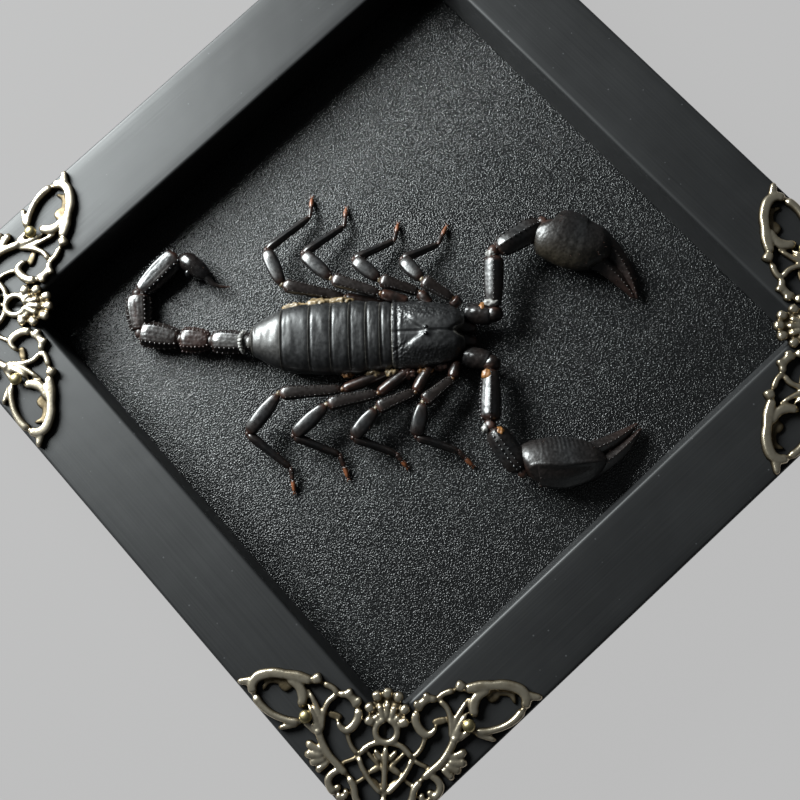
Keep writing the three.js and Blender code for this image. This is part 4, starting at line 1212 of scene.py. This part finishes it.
# %% Tail
TAIL_JOINTS = [
    (-32.2, -5.3, 4),
    (-42.2, -5, 3),
    (-49.1, -4.7, 2.6),
    (-58.3, -3.6, 2.5),
    (-59.6, 5.2, 2.4),
    (-51.3, 14.5, 2.5),
    (-43.8, 9.2, 2.3),
]
TAIL_HALF_WIDTHS = [2.3, 2.5, 2.6, 2.5, 2.45]
TAIL_TONES = [UMBER, RED_BROWN, UMBER, UMBER, CUTICLE]
TAIL_PATCHES = [(90, 30, darker(ASH, 0.4)), (60, 30, RED_BROWN), (100, 20, UMBER), (100, 20, RED_BROWN),
                (60, 20, UMBER)]

tail_forms = []
for number, half_width in enumerate(TAIL_HALF_WIDTHS):
    start, end = TAIL_JOINTS[number], TAIL_JOINTS[number + 1]
    tone = TAIL_TONES[number]
    tail_forms.append(limb(
        between(start, end, 0.03), between(start, end, 0.99),
        [(0, half_width * 0.66), (0.15, half_width * 0.84), (0.7, half_width), (0.9, half_width),
         (1, half_width * 0.75)],
        [(0, half_width * 0.66), (0.3, half_width * 0.85), (0.75, half_width * 0.98), (1, half_width * 0.75)],
        [(0, RUST), (0.1, tone), (0.88, tone), (1, RUST)], square=1.7, caps=(0.08, 0.08),
        keels=[(48, 0.16, 8), (132, 0.18, 8), (4, 0.12, 9), (176, 0.14, 9), (90, -0.14, 24)],
        rows=[(48, 11, 0.26), (132, 11, 0.28), (4, 10, 0.22), (176, 10, 0.26)], patch=TAIL_PATCHES[number],
        hairs=(6, 0.8),
        grain=0.06, sides=56, steps=52, seed=number,
    ))
    if number:
        tail_forms.append(lump(start, (1.2, 1.4, 1.4), RED_BROWN, crumple=0.15, seed=number))
tail_forms.append(lump((-33.4, -5.3, 4), (1.5, 1.75, 1.7), ASH, crumple=0.15, seed=9))
for number, turn in enumerate(np.linspace(-0.2, 1.1, 14) * math.pi):
    collar = (-35.1 + 0.25 * math.cos(2 * turn), -5.2 + 2.15 * math.cos(turn), 3.9 + 2.1 * math.sin(turn))
    tail_forms.append(lump(collar, (0.5, 0.46, 0.36), darker(BONE, 0.7), crumple=0.2, crumple_size=0.5,
                           seed=number))
tail_forms.append(limb(
    between(TAIL_JOINTS[5], TAIL_JOINTS[6], 0.08), TAIL_JOINTS[6],
    [(0, 1.3), (0.3, 2.1), (0.6, 2.0), (1, 0.95)], [(0, 1.4), (0.4, 2.3), (1, 1.0)],
    [(0, UMBER), (1, CUTICLE)], caps=(0.16, 0.2), square=2.0, hairs=(8, 0.8), grain=0.03, sides=40, steps=36,
    dull=0.26, seed=5,
))
tail_forms.append(lump((-48.6, 10.2, 2.4), (0.8, 1.0, 1.2), CUTICLE, dull=0.25))
tail_forms.append(limb(
    (-44.9, 9.9, 2.3), (-39.2, 7.6, 1.5), [(0, 1.0), (0.3, 0.66), (0.7, 0.34), (1, 0.08)],
    [(0, 1.05), (0.3, 0.7), (0.7, 0.36), (1, 0.08)], [(0, CUTICLE), (0.6, UMBER), (1, RUST)], bow=1.1,
    caps=(0.1, 0.03), square=2.0, sides=20, steps=30, dull=0.25,
))
assemble("dried_scorpion_tail", tail_forms, "scorpion_tail")

# %% [markdown]
# ## Body
# The body is a soft core under hard plates. Seven back plates lap like shingles, each with a raised rear
# rim and rounded corners. The carapace in front has two smooth pads, a groove between them and the eyes
# on a small hill. A plate is a grid of points along and across the back. It is bent over the core,
# dented, and then given a thickness.

# %% Body plates
BODY_TURN = math.radians(3.8)
CARAPACE_REAR = np.array([-2.7, -2.9])
BODY_MIDDLE = 3.6
PLATE_THICKNESS = 0.45
PLATE_TUCK = 0.9
PLATE_WRAP = math.radians(106)
BACK_SQUARE = 2.3
RIM_TONE = np.array([0.075, 0.07, 0.06])
# rear edge, front edge, half width and top at the rear edge, from the tail forwards
BACK_PLATES = [
    (-30.2, -23.8, 3.2, 6.4),
    (-23.8, -17.7, 6.7, 8.1),
    (-17.7, -13.1, 7.6, 8.4),
    (-13.1, -9.1, 7.8, 8.4),
    (-9.1, -5.6, 7.9, 8.4),
    (-5.6, -2.6, 7.6, 8.3),
    (-2.6, 0, 7.4, 8.2),
]
# along, half width and top of the carapace
CARAPACE = [(0, 7.1, 8.0), (0.5, 7.4, 8.2), (4.6, 7.4, 8.2), (9.5, 6.8, 8.2), (13.2, 5.8, 7.8),
            (15.4, 4.2, 6.6)]
EYES_ALONG = 7.3


def on_body(along, across, height):
    """A place on the body: ahead of the carapace's rear edge, to the left of the midline, and up."""
    ahead = CARAPACE_REAR[0] + along * math.cos(BODY_TURN) - across * math.sin(BODY_TURN)
    left = CARAPACE_REAR[1] + along * math.sin(BODY_TURN) + across * math.cos(BODY_TURN)
    return np.stack(np.broadcast_arrays(ahead, left, height), -1)


def arched(around, half_width, top):
    """Across and height of the back at an angle round it."""
    aside = np.sign(np.sin(around)) * np.abs(np.sin(around)) ** (2 / BACK_SQUARE)
    rise = np.sign(np.cos(around)) * np.abs(np.cos(around)) ** (2 / BACK_SQUARE)
    return half_width * aside, BODY_MIDDLE + (top - BODY_MIDDLE) * rise


def plate_form(along, across, height, tones, dull):
    """A closed plate from its outer grid, its inner face being the same grid sunk by the thickness."""
    inner = on_body(along, across * 0.97, height - PLATE_THICKNESS)[:, ::-1]
    rings = np.concatenate([on_body(along, across, height), inner], 1)
    return form(rings, np.concatenate([tones, tones[:, ::-1]], 1), dull)


def rimmed(base, rim):
    rim = np.clip(rim, 0, 1)[..., None]
    return np.asarray(base) * (1 - rim) + RIM_TONE * rim


def step(value, width):
    """A soft step from 0 to 1."""
    return 1 / (1 + np.exp(-value / width))


def back_plate(number):
    rear, front, half_width, top = BACK_PLATES[number]
    following = (*BACK_PLATES, (0, 0, *CARAPACE[0][1:]))[number + 1]
    length = front - rear
    s = (np.linspace(0, 1, 30) ** 1.6 * (1 + PLATE_TUCK / length))[:, None]
    around = np.linspace(-PLATE_WRAP, PLATE_WRAP, 84)[None, :]
    share = np.abs(around) / PLATE_WRAP
    wide = half_width + (following[2] - half_width) * np.minimum(s, 1)
    across, height = arched(around, wide + 0.25 * np.sin(math.pi * np.minimum(s, 1)),
                            top + (following[3] - top) * s)
    corner = 1.3 * np.clip((share - 0.74) / 0.26, 0, 1) ** 2 * np.clip(1 - s, 0, 1)
    along = rear + length * s + corner
    upper = np.clip(np.cos(around) + 0.25, 0, 1)
    grid = np.stack(np.broadcast_arrays(along * 1.3, across * 0.4, number * 9.0), -1)
    lip = gaussian(along - rear - corner, 0.16) + 0.6 * gaussian(1 - share, 0.03)
    height = height + 0.16 * lip - 0.1 * gaussian(along - rear - corner - 0.55, 0.25) * upper
    height = height - 0.6 * np.clip((s - 0.78) / 0.4, 0, 1) ** 2
    height = height + upper * (0.1 * swell(grid, 1.5, number) + 0.03 * swell(grid, 0.5, number + 5))
    # On the rearmost plate the top of the arch is painted paler, a painted highlight along its crest.
    painted_crest_highlight = np.clip(np.cos(around), 0, 1)[..., None] ** 4 * (number == 0)
    base = np.array(CUTICLE) * (1 - painted_crest_highlight) + np.array(ASH) * 0.5 * painted_crest_highlight
    return plate_form(along, across, height, rimmed(base, 0.9 * lip), 0.44)


def carapace():
    s = np.linspace(0, 1, 96)[:, None]
    around = np.linspace(-PLATE_WRAP, PLATE_WRAP, 150)[None, :]
    share = np.abs(around) / PLATE_WRAP
    edge = 15.4 - 2.3 * gaussian(share, 0.11) - 9.0 * np.clip(share - 0.5, 0, 1) ** 2
    along = s * edge
    flat = np.clip(along, 0, 15.4).ravel()
    wide = ease([(a, w) for a, w, _ in CARAPACE], flat).reshape(along.shape)
    top = ease([(a, h) for a, _, h in CARAPACE], flat).reshape(along.shape)
    across, height = arched(np.broadcast_to(around, along.shape), wide, top)
    aside = np.abs(across)
    upper = np.clip(np.cos(around) + 0.2, 0, 1)
    pad_rear = 3.7 + 3.4 * gaussian(aside, 1.5)
    relief = 0.5 * step(along - pad_rear, 0.3) * step(4.2 - aside, 0.35) * step(edge - 0.7 - along, 0.25)
    relief += 0.42 * gaussian(along - EYES_ALONG, 1.1) * gaussian(aside, 0.95)
    relief -= 0.45 * gaussian(aside, 0.2) * step(along - 0.5,
                                                 0.3) * (1 - 0.8 * gaussian(along - EYES_ALONG, 0.9))
    relief -= 0.12 * gaussian(aside - 1.4 - (5.5 - along) * 0.5, 0.5) * step(5.4 - along, 0.4)
    relief -= 0.2 * gaussian(along - 1.25, 0.35)
    relief += 0.14 * gaussian(along, 0.2) + 0.16 * gaussian(1 - share, 0.025) + 0.1 * gaussian(edge - along,
        0.25)
    points = on_body(along, across, height)
    rough = step(aside - 3.4, 0.5) + 0.6 * step(3.4 - along, 0.4) * step(aside - 1.2, 0.4)
    relief += 0.16 * grains(points, 0.5, 2) * np.clip(rough, 0, 1) + 0.05 * swell(points, 1.1, 8)
    rim = gaussian(along, 0.14) + gaussian(1 - share, 0.016) + 0.8 * gaussian(edge - along, 0.13)
    return plate_form(along, across, height + relief * upper, rimmed(CUTICLE, rim), 0.44)


def body_core():
    keys = [(-30.6, 2.6, 5.6), (-24, 6, 7), (-16, 6.8, 7.2), (-5, 6.9, 7.1), (4, 6.5, 7), (10, 6, 6.4),
            (14, 4.6, 5.2)]
    along = np.linspace(keys[0][0], keys[-1][0], 60)
    around = np.linspace(0, 2 * math.pi, 40, endpoint=False)[None, :]
    wide = ease([(a, w) for a, w, _ in keys], along)[:, None]
    top = ease([(a, h) for a, _, h in keys], along)[:, None]
    across, height = arched(around, wide, top)
    return form(on_body(along[:, None], across, height), np.full((60, 40, 3), UMBER), 0.4)


print("plate helpers ready")

# %% Body
# soft flank skin: along, across, height, half length, half width, half height, tone
FLANK_FOLDS = [
    (-20.6, 6.7, 4.0, 3.3, 1.3, 1.5, TAN),
    (-15.6, 7.4, 4.3, 3.0, 1.35, 1.6, TAN),
    (-10.8, 7.6, 4.4, 2.8, 1.2, 1.6, TAN),
    (-10, -7.9, 3.4, 1.4, 0.8, 1.2, darker(AMBER, 0.5)),
    (-4.4, -7.9, 3.6, 1.8, 0.9, 1.3, darker(TAN, 0.7)),
    (-0.4, -8.0, 3.8, 1.6, 1.0, 1.4, TAN),
    (3.0, -8.1, 3.6, 1.8, 1.1, 1.4, darker(RUST, 1.3)),
    (6.6, -7.7, 3.4, 1.8, 1.2, 1.5, darker(AMBER, 0.4)),
    (10.2, -6.6, 3.2, 1.8, 1.2, 1.4, RUST),
]

body_forms = [body_core(), carapace()] + [back_plate(i) for i in range(len(BACK_PLATES))]
for side in (-1, 1):
    eye = on_body(EYES_ALONG, 0.66 * side, 8.6)
    body_forms.append(lump(eye, (0.58, 0.5, 0.55), CUTICLE, dull=0.08))
    jaw = on_body(12, 1.7 * side, 3.6), on_body(18.0, 1.5 * side, 2.6)
    body_forms.append(limb(*jaw, [(0, 1.4), (0.6, 1.7), (1, 0.8)], [(0, 1.5), (0.6, 1.7), (1, 0.8)],
                           [(0, CUTICLE), (0.7, UMBER), (1, RUST)], square=1.9, grain=0.06, hairs=(8, 0.8)))
for number, (along, across, height, *size, tone) in enumerate(FLANK_FOLDS):
    body_forms.append(lump(on_body(along, across, height), size, tone, heading=BODY_TURN, crumple=0.55,
                           crumple_size=0.75, seed=number, sides=44, steps=40, dull=0.5))
assemble("dried_scorpion_body", body_forms, "scorpion_body")

# %% [markdown]
# ## Beads and bristles
# Rows of tiny beads run along the keels, and short bristles stand on the limbs. There are hundreds of
# each, so Geometry Nodes put a low ball on every bead point and a thin cone on every bristle point,
# turned to its direction.

# %% Beads and bristles
def detail_tree(finish):
    tree = bpy.data.node_groups.new("beads_and_bristles", "GeometryNodeTree")
    group_socket(tree, "Geometry", "NodeSocketGeometry")
    group_socket(tree, "Bristle Radius", "NodeSocketFloat")
    group_socket(tree, "Geometry", "NodeSocketGeometry", "OUTPUT")
    start = add_node(tree, "NodeGroupInput")
    size = named_value(tree, "size")
    lean = add_node(tree, "GeometryNodeInputNamedAttribute", {"Name": "lean"},
                    data_type="FLOAT_VECTOR").outputs[0]
    is_bead = named_value(tree, "is_bead")
    ball = add_node(tree, "GeometryNodeMeshIcoSphere", {"Radius": 1.0, "Subdivisions": 2}).outputs["Mesh"]
    cone = add_node(
        tree,
        "GeometryNodeMeshCone",
        {"Vertices": 5, "Radius Top": 0.0, "Radius Bottom": start.outputs["Bristle Radius"], "Depth": 1.0},
    ).outputs["Mesh"]
    turned = add_node(tree, "FunctionNodeAlignRotationToVector", {"Vector": lean}, axis="Z").outputs[0]
    length = add_node(tree, "ShaderNodeCombineXYZ", {"X": 1.0, "Y": 1.0, "Z": size}).outputs[0]
    beads = add_node(
        tree,
        "GeometryNodeInstanceOnPoints",
        {"Points": start.outputs["Geometry"], "Selection": is_bead, "Instance": ball, "Scale": size},
    )
    not_bead = add_node(tree, "FunctionNodeBooleanMath", {0: is_bead}, operation="NOT").outputs[0]
    bristles = add_node(
        tree,
        "GeometryNodeInstanceOnPoints",
        {"Points": start.outputs["Geometry"], "Selection": not_bead, "Instance": cone, "Rotation": turned,
         "Scale": length},
    )
    both = add_node(tree, "GeometryNodeJoinGeometry")
    tree.links.new(beads.outputs[0], both.inputs[0])
    tree.links.new(bristles.outputs[0], both.inputs[0])
    real = add_node(tree, "GeometryNodeRealizeInstances", {"Geometry": both.outputs[0]})
    clad = add_node(tree, "GeometryNodeSetMaterial", {"Geometry": real.outputs[0], "Material": finish})
    tree.links.new(clad.outputs[0], add_node(tree, "NodeGroupOutput").inputs["Geometry"])
    return tree


BRISTLE_RADIUS = 0.045
bead_places = [place for place, _, _ in bead_points] + [place for place, _, _ in bristle_points]
bead_count = len(bead_points)
sizes = np.array([radius for _, radius, _ in bead_points] + [length for _, _, length in bristle_points]) * MM
leans = np.array([(0, 0, 1)] * bead_count + [tuple(way) for _, way, _ in bristle_points])
leans = on_panel(leans) - on_panel([(0, 0, 0)])
tones = np.array([(*tone, 1) for _, _, tone in bead_points] + [(*RUST, 1)] * len(bristle_points))
detail_mesh = bpy.data.meshes.new("detail_points")
detail_mesh.from_pydata(on_panel(bead_places).tolist(), [], [])
is_bead = np.arange(len(bead_places)) < bead_count
for key, kind, field, values in (
    ("size", "FLOAT", "value", sizes),
    ("is_bead", "FLOAT", "value", is_bead),
    ("dullness", "FLOAT", "value", np.full(len(bead_places), 0.3)),
    ("lean", "FLOAT_VECTOR", "vector", leans),
    ("tone", "FLOAT_COLOR", "color", tones),
):
    detail_mesh.attributes.new(key, kind, "POINT").data.foreach_set(field,
        np.asarray(values, np.float32).ravel())
carrier = bpy.data.objects.new("detail_points", detail_mesh)
scene.collection.objects.link(carrier)
modifier = carrier.modifiers.new("details", "NODES")
modifier.node_group = detail_tree(cuticle)
set_input(modifier, "Bristle Radius", BRISTLE_RADIUS * MM)
details = plain_mesh(carrier, "scorpion_beads_and_bristles")
details.shade_smooth()
detail_piece = bpy.data.objects.new(details.name, details)
scene.collection.objects.link(detail_piece)
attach(detail_piece, "root")
print(bead_count, "beads and", len(bristle_points), "bristles:", len(details.polygons), "faces")
